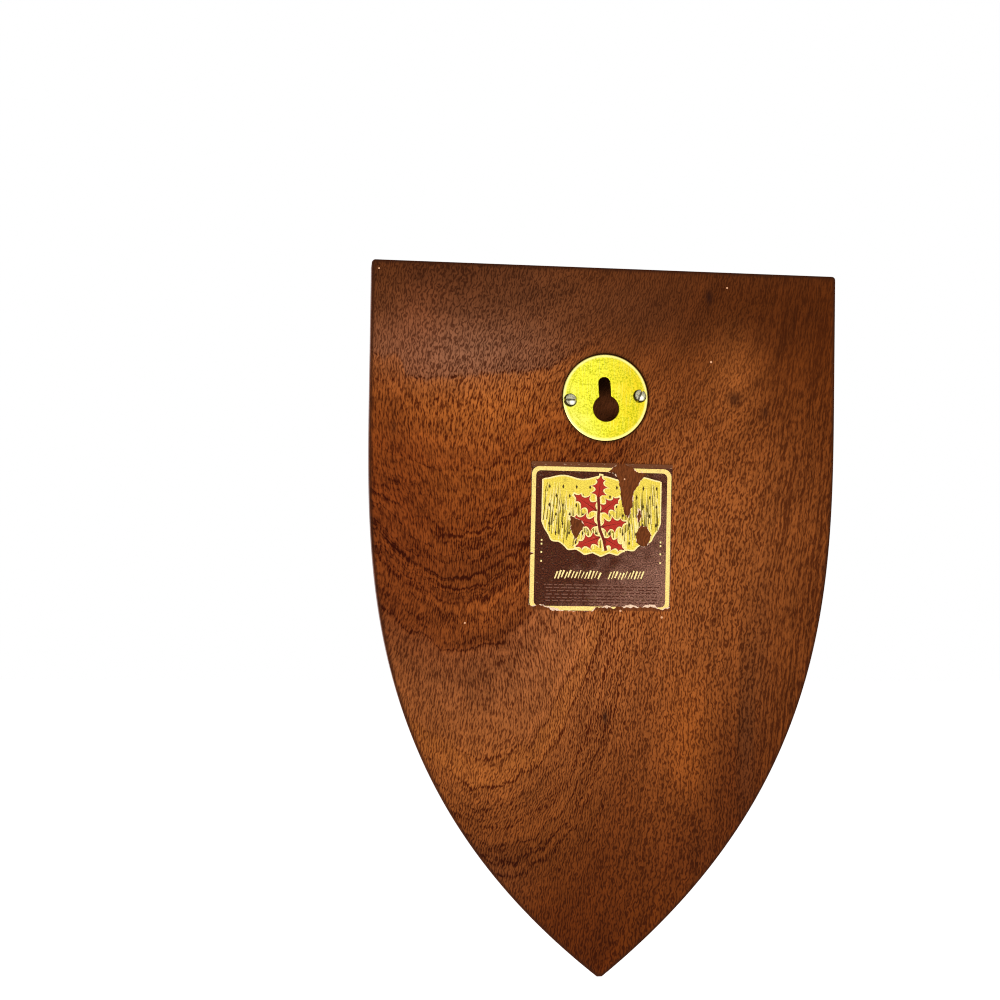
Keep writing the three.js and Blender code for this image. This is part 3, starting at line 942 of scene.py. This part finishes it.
def make_board(settings, label):
    body = Body()
    rings = [body.ring(board_outline(settings, inset), height) for inset, height in edge_profile(settings)]
    rim = len(body.points)
    flat = body.ring(board_outline(settings, (settings.arris + settings.rim_shade_width) / MM), 0)
    body.wall(flat, *rings)
    body.face(rings[-1])

    plate = Vector((PLATE_X, PLATE_Z))
    shift = settings.seat_shift / MM
    seat_centre = plate + Vector((-shift, shift))
    seat_radius = PLATE_RADIUS + settings.seat_gap / MM
    lip = body.ring(circle(seat_centre, seat_radius + SEAT_EASE, ROUND_SIDES), 0)
    mouth = body.ring(circle(seat_centre, seat_radius, ROUND_SIDES), -SEAT_EASE)
    seat = body.ring(circle(seat_centre, seat_radius, ROUND_SIDES), -PLATE_THICKNESS)
    body.face(flat, lip)
    body.wall(lip, mouth, seat)

    pocket_radius = PLATE_RADIUS - settings.seat_ledge / MM
    pocket_depth = settings.pocket_depth / MM
    pocket = body.ring(circle(plate, pocket_radius, ROUND_SIDES), -PLATE_THICKNESS)
    turn_in = body.ring(circle(plate, pocket_radius, ROUND_SIDES), -pocket_depth + POCKET_EASE)
    floor = body.ring(circle(plate, pocket_radius - POCKET_EASE, ROUND_SIDES), -pocket_depth)
    body.wall(pocket, turn_in, floor)
    body.face(floor)

    pilots = [pilot_hole(body, screw_place(side)) for side in SCREW_NODES]
    body.face(seat, pocket, *pilots)
    piece = body.piece("board", wood("polished_mahogany", settings, label))
    # The rim attribute marks where the painted shade along the edge behind falls
    marks = piece.data.attributes.new("rim", "FLOAT", "POINT")
    marks.data.foreach_set("value", [float(i < rim) for i in range(len(body.points))])
    return dress(piece, "mahogany", "shield_board")


def pilot_hole(body, centre):
    """A small blind hole in the seat, and the ring at its mouth."""
    plate = bpy.context.scene.plaque_plate
    radius = (plate.shank_radius + plate.screw_gap) / MM
    depth = (plate.screw_length + plate.screw_gap) / MM
    mouth = body.ring(circle(centre, radius, PILOT_SIDES), -PLATE_THICKNESS)
    end = body.ring(circle(centre, radius, PILOT_SIDES), -depth)
    body.wall(mouth, end)
    body.face(end)
    return mouth


# Hanger plate and its screws

EASE_STEPS = 4
ARC_STEPS = 40
HOLE_SIDES = 48
SCREW_SIDES = 64

# The mouths of the countersinks are worn wider towards their lower left
WORN_SIDE = Vector((0.09, -0.11))


def plate_point(aside, above):
    """A point of the plate's own frame, +x left and +z up before the plate is turned, in x and z."""
    turned = Vector((
        aside * math.cos(PLATE_TURN) - above * math.sin(PLATE_TURN),
        aside * math.sin(PLATE_TURN) + above * math.cos(PLATE_TURN),
    ))
    return Vector((PLATE_X, PLATE_Z)) + turned


def keyhole(settings, outset):
    """The keyhole's outline, a set distance outside its true edge."""
    half = settings.slot_width / MM / 2 + outset
    radius = settings.keyhole_radius / MM + outset
    rise = settings.slot_rise / MM
    drop = settings.keyhole_drop / MM
    meets = math.asin(half / radius)
    top = [math.pi * i / ARC_STEPS for i in range(ARC_STEPS + 1)]
    outline = [plate_point(half * math.cos(a), rise + half * math.sin(a)) for a in top]
    start = math.pi / 2 + meets
    sweep = 2 * math.pi - 2 * meets
    for i in range(2 * ARC_STEPS + 1):
        a = start + sweep * i / (2 * ARC_STEPS)
        outline.append(plate_point(radius * math.cos(a), -drop + radius * math.sin(a)))
    return outline


def make_plate(settings):
    body = Body()
    rim = settings.rim / MM
    centre = (PLATE_X, PLATE_Z)
    outer = [
        body.ring(circle(centre, PLATE_RADIUS - rim * (1 - sine), ROUND_SIDES), -rim * (1 - cosine))
        for sine, cosine in quarter(EASE_STEPS)
    ]
    outer.append(body.ring(circle(centre, PLATE_RADIUS, ROUND_SIDES), -PLATE_THICKNESS))
    ease = settings.keyhole_ease / MM
    inner = [
        body.ring(keyhole(settings, ease * (1 - sine)), -ease * (1 - cosine))
        for sine, cosine in quarter(EASE_STEPS)
    ]
    inner.append(body.ring(keyhole(settings, 0), -PLATE_THICKNESS))
    body.wall(*outer)
    body.wall(*inner)

    holes = [countersink(body, screw_place(side), settings) for side in SCREW_NODES]
    body.face(outer[0], inner[0], *(hole[0] for hole in holes))
    body.face(outer[-1], inner[-1], *(hole[-1] for hole in holes))
    piece = body.piece("hanger_plate_brass", brass("lacquered_brass", settings))
    return dress(piece, "brass", "hanger_plate")


def countersink(body, centre, settings):
    """The hole for one screw, a little larger than its head, as rings from the top down."""
    gap = settings.screw_gap / MM
    head = settings.head_radius / MM + gap
    shank = settings.shank_radius / MM + gap
    levels = [(head + 0.16, 0, 1), (head + 0.06, -0.1, 1), (head, -0.22, 0.5)]
    levels += [(shank, -settings.head_depth / MM, 0), (shank, -PLATE_THICKNESS, 0)]
    rings = [
        body.ring(circle(centre + WORN_SIDE * worn, radius, HOLE_SIDES), height)
        for radius, height, worn in levels
    ]
    body.wall(*rings)
    return rings


def make_screw(side, turn, settings, finish):
    """A slotted countersunk screw with a worn rim."""
    body = Body()
    centre = screw_place(side)
    head = settings.head_radius / MM
    shank = settings.shank_radius / MM
    end = -settings.screw_length / MM
    profile = [
        (head * 0.5, -0.035), (head * 0.78, -0.06), (head * 0.92, -0.1),
        (head - 0.04, -0.16), (head - 0.1, -0.24), (shank, -settings.head_depth / MM),
        (shank, end + settings.screw_point / MM), (shank * 0.2, end),
    ]
    rings = [body.ring(circle(centre, radius, SCREW_SIDES), height) for radius, height in profile]
    body.wall(*rings)
    body.face(rings[0])
    body.face(rings[-1])
    screw = body.piece(f"screw_{side}", finish)
    cut_slot(screw, centre, turn, settings)
    return dress(screw, "steel", SCREW_NODES[side])


def cut_slot(screw, centre, turn, settings):
    """Cuts the driver's slot into a screw's head."""
    bpy.ops.mesh.primitive_cube_add(size=1, location=(centre.x * MM, 0, centre.y * MM))
    blade = bpy.context.object
    depth = settings.slot_depth
    blade.scale = (4 * settings.head_radius, 2 * depth, settings.slot_cut)
    blade.rotation_euler = (0, turn - PLATE_TURN, 0)
    cut = screw.modifiers.new("slot", "BOOLEAN")
    cut.operation = "DIFFERENCE"
    cut.solver = "EXACT"
    cut.object = blade
    bpy.context.view_layer.update()
    solved = screw.evaluated_get(bpy.context.evaluated_depsgraph_get())
    mesh = bpy.data.meshes.new_from_object(solved)
    screw.modifiers.clear()
    screw.data = mesh
    tidy(mesh)
    bpy.data.objects.remove(blade)


# Label

# Distance between the points inside the sheet
GRID_STEP = 1.1

# The paper's ripples: height, number to a millimetre and seed
RIPPLES = [(0.03, 0.22, 4), (0.012, 0.9, 8)]

# How far the lift of an edge reaches into the sheet, and the gap under the sheet
CURL_REACH = 0.9
GLUE_GAP = 0.02

# The printed panel, in shares of the label: its left side, its width, its foot at the sides and how much
# lower it hangs in the middle
PANEL_LEFT = 0.085
PANEL_WIDTH = 0.83
PANEL_FOOT = 0.4
PANEL_HANG = 0.2


def label_frame():
    """Where the label's top middle is, how wide and high the label is, and how far it is turned."""
    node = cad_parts["paper_label"]
    flat = [Vector((v.co.x, v.co.z)) / MM for v in node.data.vertices]
    left = max(flat, key=lambda p: p.x + p.y)
    right = max(flat, key=lambda p: p.y - p.x)
    low = min(flat, key=lambda p: p.y)
    middle = (left + right) / 2
    along = (right - left).normalized()
    down = Vector((along.y, -along.x))
    down = down if down.y < 0 else -down
    return {
        "x": middle.x,
        "z": middle.y,
        "width": (right - left).length,
        "height": (low - middle).dot(down),
        "along": along,
        "down": down,
        "degrees": math.degrees(math.atan2(-along.y, -along.x)),
    }


def on_label(label, across, down):
    """A place in shares of the label's width and height, in x and z."""
    middle = Vector((label["x"], label["z"]))
    return middle + label["along"] * (across - 0.5) * label["width"] + label["down"] * down * label["height"]


def label_shares(label, point):
    """The opposite of on_label."""
    offset = point - Vector((label["x"], label["z"]))
    return offset.dot(label["along"]) / label["width"] + 0.5, offset.dot(label["down"]) / label["height"]


def open_edges(faces):
    """The edges that only one face has, each running the way that its face does."""
    found = {}
    for face in faces:
        for first, second in zip(face, face[1:] + face[:1]):
            if (second, first) in found:
                del found[(second, first)]
            else:
                found[(first, second)] = True
    return list(found)


def paper_edges():
    """The outlines of what is left of the label, from the upper face of its solid."""
    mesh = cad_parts["paper_label"].data
    high = max(v.co.y for v in mesh.vertices)
    upper = []
    for polygon in mesh.polygons:
        corners = [mesh.vertices[i].co for i in polygon.vertices]
        if min(corner.y for corner in corners) >= high - 0.01 * MM:
            upper.append([(round(c.x / MM, 3), round(c.z / MM, 3)) for c in corners])
    after = dict(open_edges(upper))
    loops = []
    while after:
        start = next(iter(after))
        loop = [start]
        step = after.pop(start)
        while step != start:
            loop.append(step)
            step = after.pop(step)
        loops.append([Vector(point) for point in loop])
    return loops


def is_cut(label, first, second):
    """Whether a stretch of outline is one of the straight sides that the label was cut to."""
    a, b = label_shares(label, first), label_shares(label, second)
    sides = [(0, 0), (0, 1), (1, 0)]
    return any(abs(a[axis] - at) < 0.002 and abs(b[axis] - at) < 0.002 for axis, at in sides)


def torn(label, loop, step, depth, inset, seed):
    """An outline with its torn stretches made ragged, and moved into the paper by up to inset."""
    ragged = []
    for first, second in zip(loop, loop[1:] + loop[:1]):
        along = second - first
        outward = side_of(along).normalized()
        straight = is_cut(label, first, second)
        count = 1 if straight else max(1, round(along.length / step))
        for i in range(count):
            t = i / count
            point = first + along * t
            if not straight:
                place = Vector((point.x, point.y, seed))
                stray = noise.fractal(place * 0.9, 0.8, 2.1, 4) * depth
                bare = inset * max(0.0, min(1.0, 1.9 * noise.noise(place * 0.3)))
                bare *= 1.0 if label_shares(label, point)[1] > 0.9 else 0.2
                fade = min(1.0, 4 * t, 4 * (1 - t)) if i == 0 else 1.0
                point = point + outward * (stray * fade - bare)
            ragged.append(point)
    return ragged


def inside(loop, points):
    """Which of the points lie inside a loop."""
    corners = np.array([(p[0], p[1]) for p in loop])
    low, high = corners.min(0), corners.max(0)
    found = np.zeros(len(points), bool)
    near = np.where(((points >= low) & (points <= high)).all(1))[0]
    if len(near) == 0:
        return found
    x, z = points[near, 0], points[near, 1]
    odd = np.zeros(len(near), bool)
    for (x1, z1), (x2, z2) in zip(corners, np.roll(corners, -1, 0)):
        if z1 == z2:
            continue
        odd ^= ((z1 > z) != (z2 > z)) & (x < (x2 - x1) * (z - z1) / (z2 - z1) + x1)
    found[near] = odd
    return found


def rounded_frame(label, inset, radius):
    """A rectangle with round corners, a set distance inside the label's sides."""
    width, height = label["width"], label["height"]
    left, top, right, bottom = inset
    x1, x2 = left + radius, width - right - radius
    y1, y2 = top + radius, height - bottom - radius
    steps = 8
    outline = []
    for corner, (x, y) in enumerate([(x2, y1), (x2, y2), (x1, y2), (x1, y1)]):
        for i in range(steps + 1):
            a = math.pi / 2 * (corner - 1 + i / steps)
            across = x + radius * math.cos(a)
            down = y + radius * math.sin(a)
            outline.append(on_label(label, across / width, down / height))
    return outline


def bar(label, start, end, width, taper=1.0):
    """A straight stroke between two places in shares. Its width, in millimetres, tapers towards its end."""
    a, b = on_label(label, *start), on_label(label, *end)
    side = side_of((b - a).normalized()) * width / 2
    return [a + side, b + side * taper, b - side * taper, a - side]


def panel_foot(t):
    """How far down the panel reaches at a share of its width."""
    return PANEL_FOOT + PANEL_HANG * math.sin(math.pi * t) ** 0.55


def panel_outline(label, grow):
    """The printed panel: a wavy top and a scalloped foot that hangs lowest in the middle."""
    steps = 72
    head, foot = [], []
    for i in range(steps + 1):
        t = i / steps
        across = PANEL_LEFT + PANEL_WIDTH * t
        scallop = 0.022 * abs(math.sin(7 * math.pi * t))
        head.append((across, 0.108 + 0.012 * math.cos(6 * math.pi * t)))
        foot.append((across + 0.012 * math.sin(14 * math.pi * t), panel_foot(t) + scallop))
    return grown([on_label(label, *place) for place in head + foot[::-1]], grow)


def grown(points, distance):
    """A loop moved outwards by a distance."""
    area = sum(a.x * b.y - b.x * a.y for a, b in zip(points, points[1:] + points[:1]))
    sign = 1 if area > 0 else -1
    moved = []
    for before, point, after in zip(points[-1:] + points[:-1], points, points[1:] + points[:1]):
        along = (after - before).normalized()
        moved.append(point + Vector((along.y, -along.x)) * distance * sign)
    return moved


LOZENGE_INK = linear(62, 48, 18)

# The printed sprig: each leaf's foot in shares, the way that it points in degrees from up, its length and its
# width in millimetres, and its number of lobes to a side
LEAVES = [
    ((0.475, 0.235), 6, 7.0, 2.9, 3),
    ((0.462, 0.32), -56, 8.6, 2.9, 3),
    ((0.495, 0.33), 52, 7.4, 2.7, 3),
    ((0.468, 0.42), -76, 8.8, 2.9, 3),
    ((0.50, 0.43), 78, 8.0, 2.9, 3),
    ((0.49, 0.50), -112, 8.2, 2.8, 3),
    ((0.525, 0.51), 118, 7.0, 2.5, 3),
]
STEM = [(0.535, 0.59), (0.52, 0.52), (0.49, 0.45), (0.478, 0.38), (0.48, 0.30), (0.472, 0.2)]


def leaf_line(label, foot, degrees):
    """Where a leaf starts, the way that it points and the way to its side."""
    turn = math.radians(degrees)
    along = label["along"] * math.sin(turn) - label["down"] * math.cos(turn)
    return on_label(label, *foot), along, side_of(along)


def leaf_outline(label, leaf, grow):
    """A lobed leaf, or the same a distance larger."""
    foot, degrees, reach, width, lobes = leaf
    start, along, side = leaf_line(label, foot, degrees)
    steps = 48
    edge = []
    for i in range(steps + 1):
        t = i / steps
        swell = math.sin(math.pi * t**0.75) ** 0.8
        lobe = 0.68 + 0.32 * math.cos(2 * math.pi * (lobes * t + 0.45))
        edge.append((t + 0.05 * math.sin(2 * math.pi * lobes * t), width * swell * lobe))
    one = [start + along * (reach * t) + side * (half + grow * 0.9) for t, half in edge]
    other = [start + along * (reach * t) - side * (half + grow * 0.9) for t, half in reversed(edge)]
    if grow:
        one[0] -= along * grow
        other[-1] -= along * grow
        one[-1] += along * grow
        other[0] += along * grow
    return one + other


def leaf_vein(label, leaf):
    """The line down the middle of a leaf, as a thin wedge."""
    foot, degrees, reach, _, _ = leaf
    start, along, side = leaf_line(label, foot, degrees)
    return [start + side * 0.16, start + along * reach * 0.86, start - side * 0.16]


def stem_outline(label, width):
    """The sprig's stem, as a band along its points."""
    points = [on_label(label, *place) for place in STEM]
    one, other = [], []
    for i, point in enumerate(points):
        before, after = points[max(i - 1, 0)], points[min(i + 1, len(points) - 1)]
        side = side_of((after - before).normalized()) * width / 2
        one.append(point + side)
        other.append(point - side)
    return one + other[::-1]


def title_strokes(label, chance):
    """Two groups of plain slanted strokes."""
    strokes = []
    for start, end in ((0.175, 0.505), (0.555, 0.81)):
        count = round((end - start) / 0.0235)
        for i in range(count):
            across = start + (end - start) * (i + 0.5) / count
            top = 0.722 + chance.uniform(0, 0.016)
            foot = 0.782 - chance.uniform(0, 0.01)
            lean = 0.01
            width = chance.uniform(0.3, 0.62)
            strokes.append(bar(label, (across + lean, top), (across - lean, foot), width, 0.7))
    return strokes


def small_rows(label, chance, shift):
    """Rows of short dashes, moved down by a share."""
    dashes = []
    for row in (0.822, 0.842, 0.862, 0.886, 0.908, 0.928):
        across = 0.10 + chance.uniform(0, 0.02)
        while across < 0.9:
            run = chance.uniform(0.012, 0.05)
            end = min(across + run, 0.92)
            dashes.append(bar(label, (across, row + shift), (end, row + shift), 0.3))
            across += run + chance.uniform(0.008, 0.016)
    return dashes


def lozenges(label):
    """Small dark lozenges in staggered rows on the panel."""
    marks = []
    for row in range(7):
        down = 0.165 + 0.062 * row
        for column in range(9):
            across = 0.13 + 0.095 * column + (0.0475 if row % 2 else 0)
            if across <= 0.9 and down <= panel_foot((across - PANEL_LEFT) / PANEL_WIDTH) - 0.03:
                place = on_label(label, across, down)
                wide, tall = label["along"] * 0.34, label["down"] * 0.8
                marks.append([place + wide, place + tall, place - wide, place - tall])
    return marks


def hatching(label, chance):
    """Fine strokes that shade the panel towards its foot and sides."""
    strokes = []
    count = 150
    for i in range(count):
        across = 0.10 + 0.8 * (i + chance.uniform(0.1, 0.9)) / count
        foot = panel_foot((across - PANEL_LEFT) / PANEL_WIDTH)
        side = abs(across - 0.5) * 2
        reach = chance.uniform(0.04, 0.14) + 0.2 * side * chance.random()
        start = foot - chance.random() * (0.12 + 0.22 * side)
        lean = chance.uniform(-0.008, 0.008) + 0.03 * (across - 0.5)
        head = max(start - reach, 0.135)
        width = chance.uniform(0.2, 0.42)
        strokes.append(bar(label, (across + lean, start), (across, head), width, 0.15))
    return strokes


def each(outlines, ink):
    """A layer of its own for each outline, so that they can overlap."""
    return [([outline], ink) for outline in outlines]


def print_layers(label, settings):
    """What is printed, from the lowest layer up, as pairs of outlines and the colour of their ink."""
    chance = random.Random(7)
    line = settings.line_width / MM
    outer = (0.15, 1.5, 0.25, 0.3)
    inner = tuple(edge + line for edge in outer)
    border = [rounded_frame(label, outer, 2.6), rounded_frame(label, inner, 1.6)]
    side_marks = [
        bar(label, (across, down), (across, down + 0.012), 0.5)
        for across in (0.08, 0.925)
        for down in (0.52, 0.545, 0.6, 0.66)
    ]
    dim = tuple(0.8 * b + 0.2 * g for b, g in zip(settings.bloom, settings.ground))
    return [
        (border, settings.border),
        ([panel_outline(label, 0.45)], settings.cream),
        ([panel_outline(label, 0)], settings.field),
        *each(hatching(label, chance), settings.cream),
        *each(hatching(label, chance), settings.shade),
        *each(lozenges(label), LOZENGE_INK),
        *each((leaf_outline(label, leaf, 0.75) for leaf in LEAVES), settings.cream),
        ([stem_outline(label, 2.0)], settings.cream),
        ([stem_outline(label, 0.95)], settings.sprig_dark),
        *each((leaf_outline(label, leaf, 0.22) for leaf in LEAVES), settings.sprig_dark),
        *each((leaf_outline(label, leaf, 0) for leaf in LEAVES), settings.sprig),
        *each((leaf_vein(label, leaf) for leaf in LEAVES), settings.sprig_dark),
        *each(title_strokes(label, chance), settings.cream),
        *each(side_marks, settings.cream),
        *each(small_rows(label, chance, 0), dim),
        *each(small_rows(label, chance, 0.01), settings.ground),
    ]


def make_label(settings, label):
    """One sheet of torn paper with its print, each face holding the colour of its ink."""
    step = settings.tear_step / MM
    depth = settings.tear_depth / MM
    core = settings.core_width / MM
    loops = paper_edges()
    sheet = [torn(label, loop, step, depth, 0, 0.0) for loop in loops]
    printed = [torn(label, loop, step, depth, core, 31.0) for loop in loops]
    layers = print_layers(label, settings)

    points, edges = [], []
    for loop in [*sheet, *printed, *(outline for outlines, _ in layers for outline in outlines)]:
        first = len(points)
        points += [Vector((p[0], p[1])) for p in loop]
        edges += [(first + i, first + (i + 1) % len(loop)) for i in range(len(loop))]
    columns = int(label["width"] / GRID_STEP)
    rows = int(label["height"] / GRID_STEP)
    for column in range(1, columns):
        for row in range(1, rows):
            points.append(on_label(label, column / columns, row / rows))
    found, _, faces, *_ = delaunay_2d_cdt(points, edges, [], 0, 1e-4)

    middles = np.array([np.mean([found[i] for i in face], axis=0) for face in faces])
    paper = np.logical_xor.reduce([inside(loop, middles) for loop in sheet])
    inked = np.logical_xor.reduce([inside(loop, middles) for loop in printed])
    tint = np.tile(np.array(settings.core), (len(faces), 1))
    ground = np.zeros(len(faces))
    tint[inked] = settings.ground
    ground[inked] = 1
    for outlines, ink in layers:
        covered = np.logical_xor.reduce([inside(outline, middles) for outline in outlines]) & inked
        tint[covered] = ink
        ground[covered] = 0
    kept = [i for i in range(len(faces)) if paper[i]]
    return raise_sheet(settings, label, found, [faces[i] for i in kept], tint[kept], ground[kept], sheet)


def raise_sheet(settings, label, flat, faces, tint, ground, sheet):
    """Gives the flat sheet its thickness, ripples and lifted edges."""
    thickness = settings.thickness / MM
    curl = settings.curl / MM
    used = sorted({i for face in faces for i in face})
    renumbered = {old: new for new, old in enumerate(used)}
    rim = np.array([(p[0], p[1]) for loop in sheet for p in loop])
    top, bottom = [], []
    for i in used:
        x, z = flat[i]
        gap = math.sqrt(((rim - (x, z)) ** 2).sum(1).min())
        ripple = sum(high * noise.noise(Vector((x, z, seed)) * fine) for high, fine, seed in RIPPLES)
        bowed = max(0.0, noise.noise(Vector((x, z, 2)) * 0.25) + 0.25)
        lift = curl * math.exp(-((gap / CURL_REACH) ** 2)) * bowed
        top.append((x, thickness + ripple + lift, z))
        bottom.append((x, max(GLUE_GAP, lift), z))
    body = Body()
    body.points = top + bottom
    count = len(top)
    body.faces = [tuple(renumbered[i] for i in face) for face in faces]
    sides = open_edges(body.faces)
    upper = len(body.faces)
    body.faces += [tuple(count + renumbered[i] for i in reversed(face)) for face in faces]
    body.faces += [(second, first, count + first, count + second) for first, second in sides]
    body.smooth = [True] * len(body.faces)
    piece = body.piece("torn_label", printed_paper("printed_paper", settings, label))
    mesh = piece.data
    ink = mesh.attributes.new("ink", "FLOAT_COLOR", "CORNER")
    dark = mesh.attributes.new("ground", "FLOAT", "FACE")
    inks = [(*settings.core, 1.0)] * len(mesh.loops)
    for polygon in mesh.polygons:
        if polygon.index < upper:
            for corner in polygon.loop_indices:
                inks[corner] = (*tint[polygon.index], 1.0)
            dark.data[polygon.index].value = ground[polygon.index]
    ink.data.foreach_set("color", [level for colour_of in inks for level in colour_of])
    return dress(piece, "paper", "paper_label")


# Stage

# Soft lights: name, place and width, in metres
LIGHTS = [
    ("key", (0.55, 0.95, -0.45), 0.4),
    ("fill", (-0.25, 1.2, 0.1), 0.9),
    ("front", (0.9, -0.5, 0.75), 0.35),
]

# Half the width of the floor, in metres
FLOOR_REACH = 6


def make_world(strength):
    """White to the camera, and a softer light from all round on the plaque."""
    world = bpy.data.worlds.new("studio")
    bpy.context.scene.world = world
    world.use_nodes = True
    tree = world.node_tree
    backdrop = tree.nodes["Background"]
    backdrop.inputs["Color"].default_value = (1, 1, 1, 1)
    backdrop.inputs["Strength"].default_value = 1
    light = tree.nodes.new("ShaderNodeBackground")
    light.inputs["Color"].default_value = (1, 1, 1, 1)
    light.inputs["Strength"].default_value = strength
    seen = tree.nodes.new("ShaderNodeLightPath")
    mix = tree.nodes.new("ShaderNodeMixShader")
    tree.links.new(seen.outputs["Is Camera Ray"], mix.inputs[0])
    tree.links.new(light.outputs[0], mix.inputs[1])
    tree.links.new(backdrop.outputs[0], mix.inputs[2])
    tree.links.new(mix.outputs[0], tree.nodes["World Output"].inputs["Surface"])


def make_floor(drop):
    """A wide pale floor below the plaque."""
    mesh = bpy.data.meshes.new("floor")
    height = (TIP_Z - drop / MM) * MM
    corners = [(x * FLOOR_REACH, y * FLOOR_REACH, height) for x, y in ((-1, -1), (1, -1), (1, 1), (-1, 1))]
    mesh.from_pydata(corners, [], [(0, 1, 2, 3)])
    constants = {
        "Roughness": 0.9,
        "Specular IOR Level": 0.0,
        "Emission Color": (1, 1, 1, 1),
        "Emission Strength": 0.55,
    }
    finish = Finish("pale_floor", constants)
    across, down, deep = finish.place()
    level = 0.93 + 0.05 * finish.noise(across / 300, down, deep / 300, 2)
    mesh.materials.append(finish.shade(Base_Color=finish.vector(level, level, level)))
    floor = bpy.data.objects.new("floor", mesh)
    bpy.context.scene.collection.objects.link(floor)


def make_light(name, place, aim, size, power):
    """A soft square light that points at a place."""
    lamp = bpy.data.lights.new(name, "AREA")
    lamp.shape = "SQUARE"
    lamp.size = size
    lamp.energy = power
    light = bpy.data.objects.new(name, lamp)
    light.location = place
    light.rotation_euler = (Vector(aim) - Vector(place)).to_track_quat("-Z", "Y").to_euler()
    bpy.context.scene.collection.objects.link(light)


def make_camera(settings):
    """A camera behind the plaque, turned from a view straight at its back."""
    lens = bpy.data.cameras.new("camera")
    lens.lens = settings.focal_length
    lens.sensor_width = 36
    lens.clip_start = 0.01
    camera = bpy.data.objects.new("camera", lens)
    turn = Matrix.Rotation(math.pi + settings.yaw, 4, "Z")
    rise = Matrix.Rotation(math.pi / 2 + settings.pitch, 4, "X")
    roll = Matrix.Rotation(settings.roll, 4, "Z")
    camera.matrix_world = Matrix.Translation(settings.place) @ turn @ rise @ roll
    bpy.context.scene.collection.objects.link(camera)
    bpy.context.scene.camera = camera


# Operators


class PLAQUE_OT_board(bpy.types.Operator):
    """Make the mahogany board with the seat of its hanger plate"""

    bl_idname = "plaque.board"
    bl_label = "Board"

    def execute(self, context):
        make_board(context.scene.plaque_board, label_frame())
        return {"FINISHED"}


class PLAQUE_OT_hanger_plate(bpy.types.Operator):
    """Make the brass keyhole plate"""

    bl_idname = "plaque.hanger_plate"
    bl_label = "Hanger plate"

    def execute(self, context):
        make_plate(context.scene.plaque_plate)
        return {"FINISHED"}


class PLAQUE_OT_screws(bpy.types.Operator):
    """Make the two slotted screws of the plate"""

    bl_idname = "plaque.screws"
    bl_label = "Screws"

    def execute(self, context):
        settings = context.scene.plaque_plate
        finish = steel("worn_steel", settings)
        make_screw("left", settings.left_slot_turn, settings, finish)
        make_screw("right", settings.right_slot_turn, settings, finish)
        return {"FINISHED"}


class PLAQUE_OT_label(bpy.types.Operator):
    """Make the torn paper label"""

    bl_idname = "plaque.label"
    bl_label = "Paper label"

    def execute(self, context):
        make_label(context.scene.plaque_label, label_frame())
        return {"FINISHED"}


class PLAQUE_OT_stage(bpy.types.Operator):
    """Make the camera, the lights and the floor"""

    bl_idname = "plaque.stage"
    bl_label = "Stage"

    def execute(self, context):
        settings = context.scene.plaque_stage
        context.scene.view_settings.view_transform = "Standard"
        context.scene.cycles.filter_width = 1.1
        make_world(settings.sky)
        make_floor(settings.floor_drop)
        middle = (0, 0, (TOP_Z + TIP_Z) / 2 * MM)
        for name, place, size in LIGHTS:
            make_light(name, place, middle, size, getattr(settings, name))
        make_camera(settings)
        return {"FINISHED"}


OPERATORS = [PLAQUE_OT_stage, PLAQUE_OT_board, PLAQUE_OT_hanger_plate, PLAQUE_OT_screws, PLAQUE_OT_label]


SETTINGS = {
    "plaque_board": BoardSettings,
    "plaque_plate": PlateSettings,
    "plaque_label": LabelSettings,
    "plaque_stage": StageSettings,
}


class PLAQUE_PT_panel(bpy.types.Panel):
    """Lists the pieces of the plaque and their settings"""

    bl_label = "Shield Plaque"
    bl_idname = "PLAQUE_PT_panel"
    bl_space_type = "VIEW_3D"
    bl_region_type = "UI"
    bl_category = "Plaque"

    def draw(self, context):
        for operator in OPERATORS:
            self.layout.operator(operator.bl_idname)
        for name in SETTINGS:
            group = getattr(context.scene, name)
            box = self.layout.box()
            for key in group.bl_rna.properties.keys():
                if key not in ("rna_type", "name"):
                    box.prop(group, key)


def register():
    for name, group in SETTINGS.items():
        bpy.utils.register_class(group)
        setattr(bpy.types.Scene, name, bpy.props.PointerProperty(type=group))
    for operator in OPERATORS:
        bpy.utils.register_class(operator)
    bpy.utils.register_class(PLAQUE_PT_panel)


def unregister():
    bpy.utils.unregister_class(PLAQUE_PT_panel)
    for operator in reversed(OPERATORS):
        bpy.utils.unregister_class(operator)
    for name, group in SETTINGS.items():
        delattr(bpy.types.Scene, name)
        bpy.utils.unregister_class(group)


def main():
    register()
    bpy.ops.plaque.stage()
    bpy.ops.plaque.board()
    bpy.ops.plaque.hanger_plate()
    bpy.ops.plaque.screws()
    bpy.ops.plaque.label()


if __name__ == "__main__":
    main()
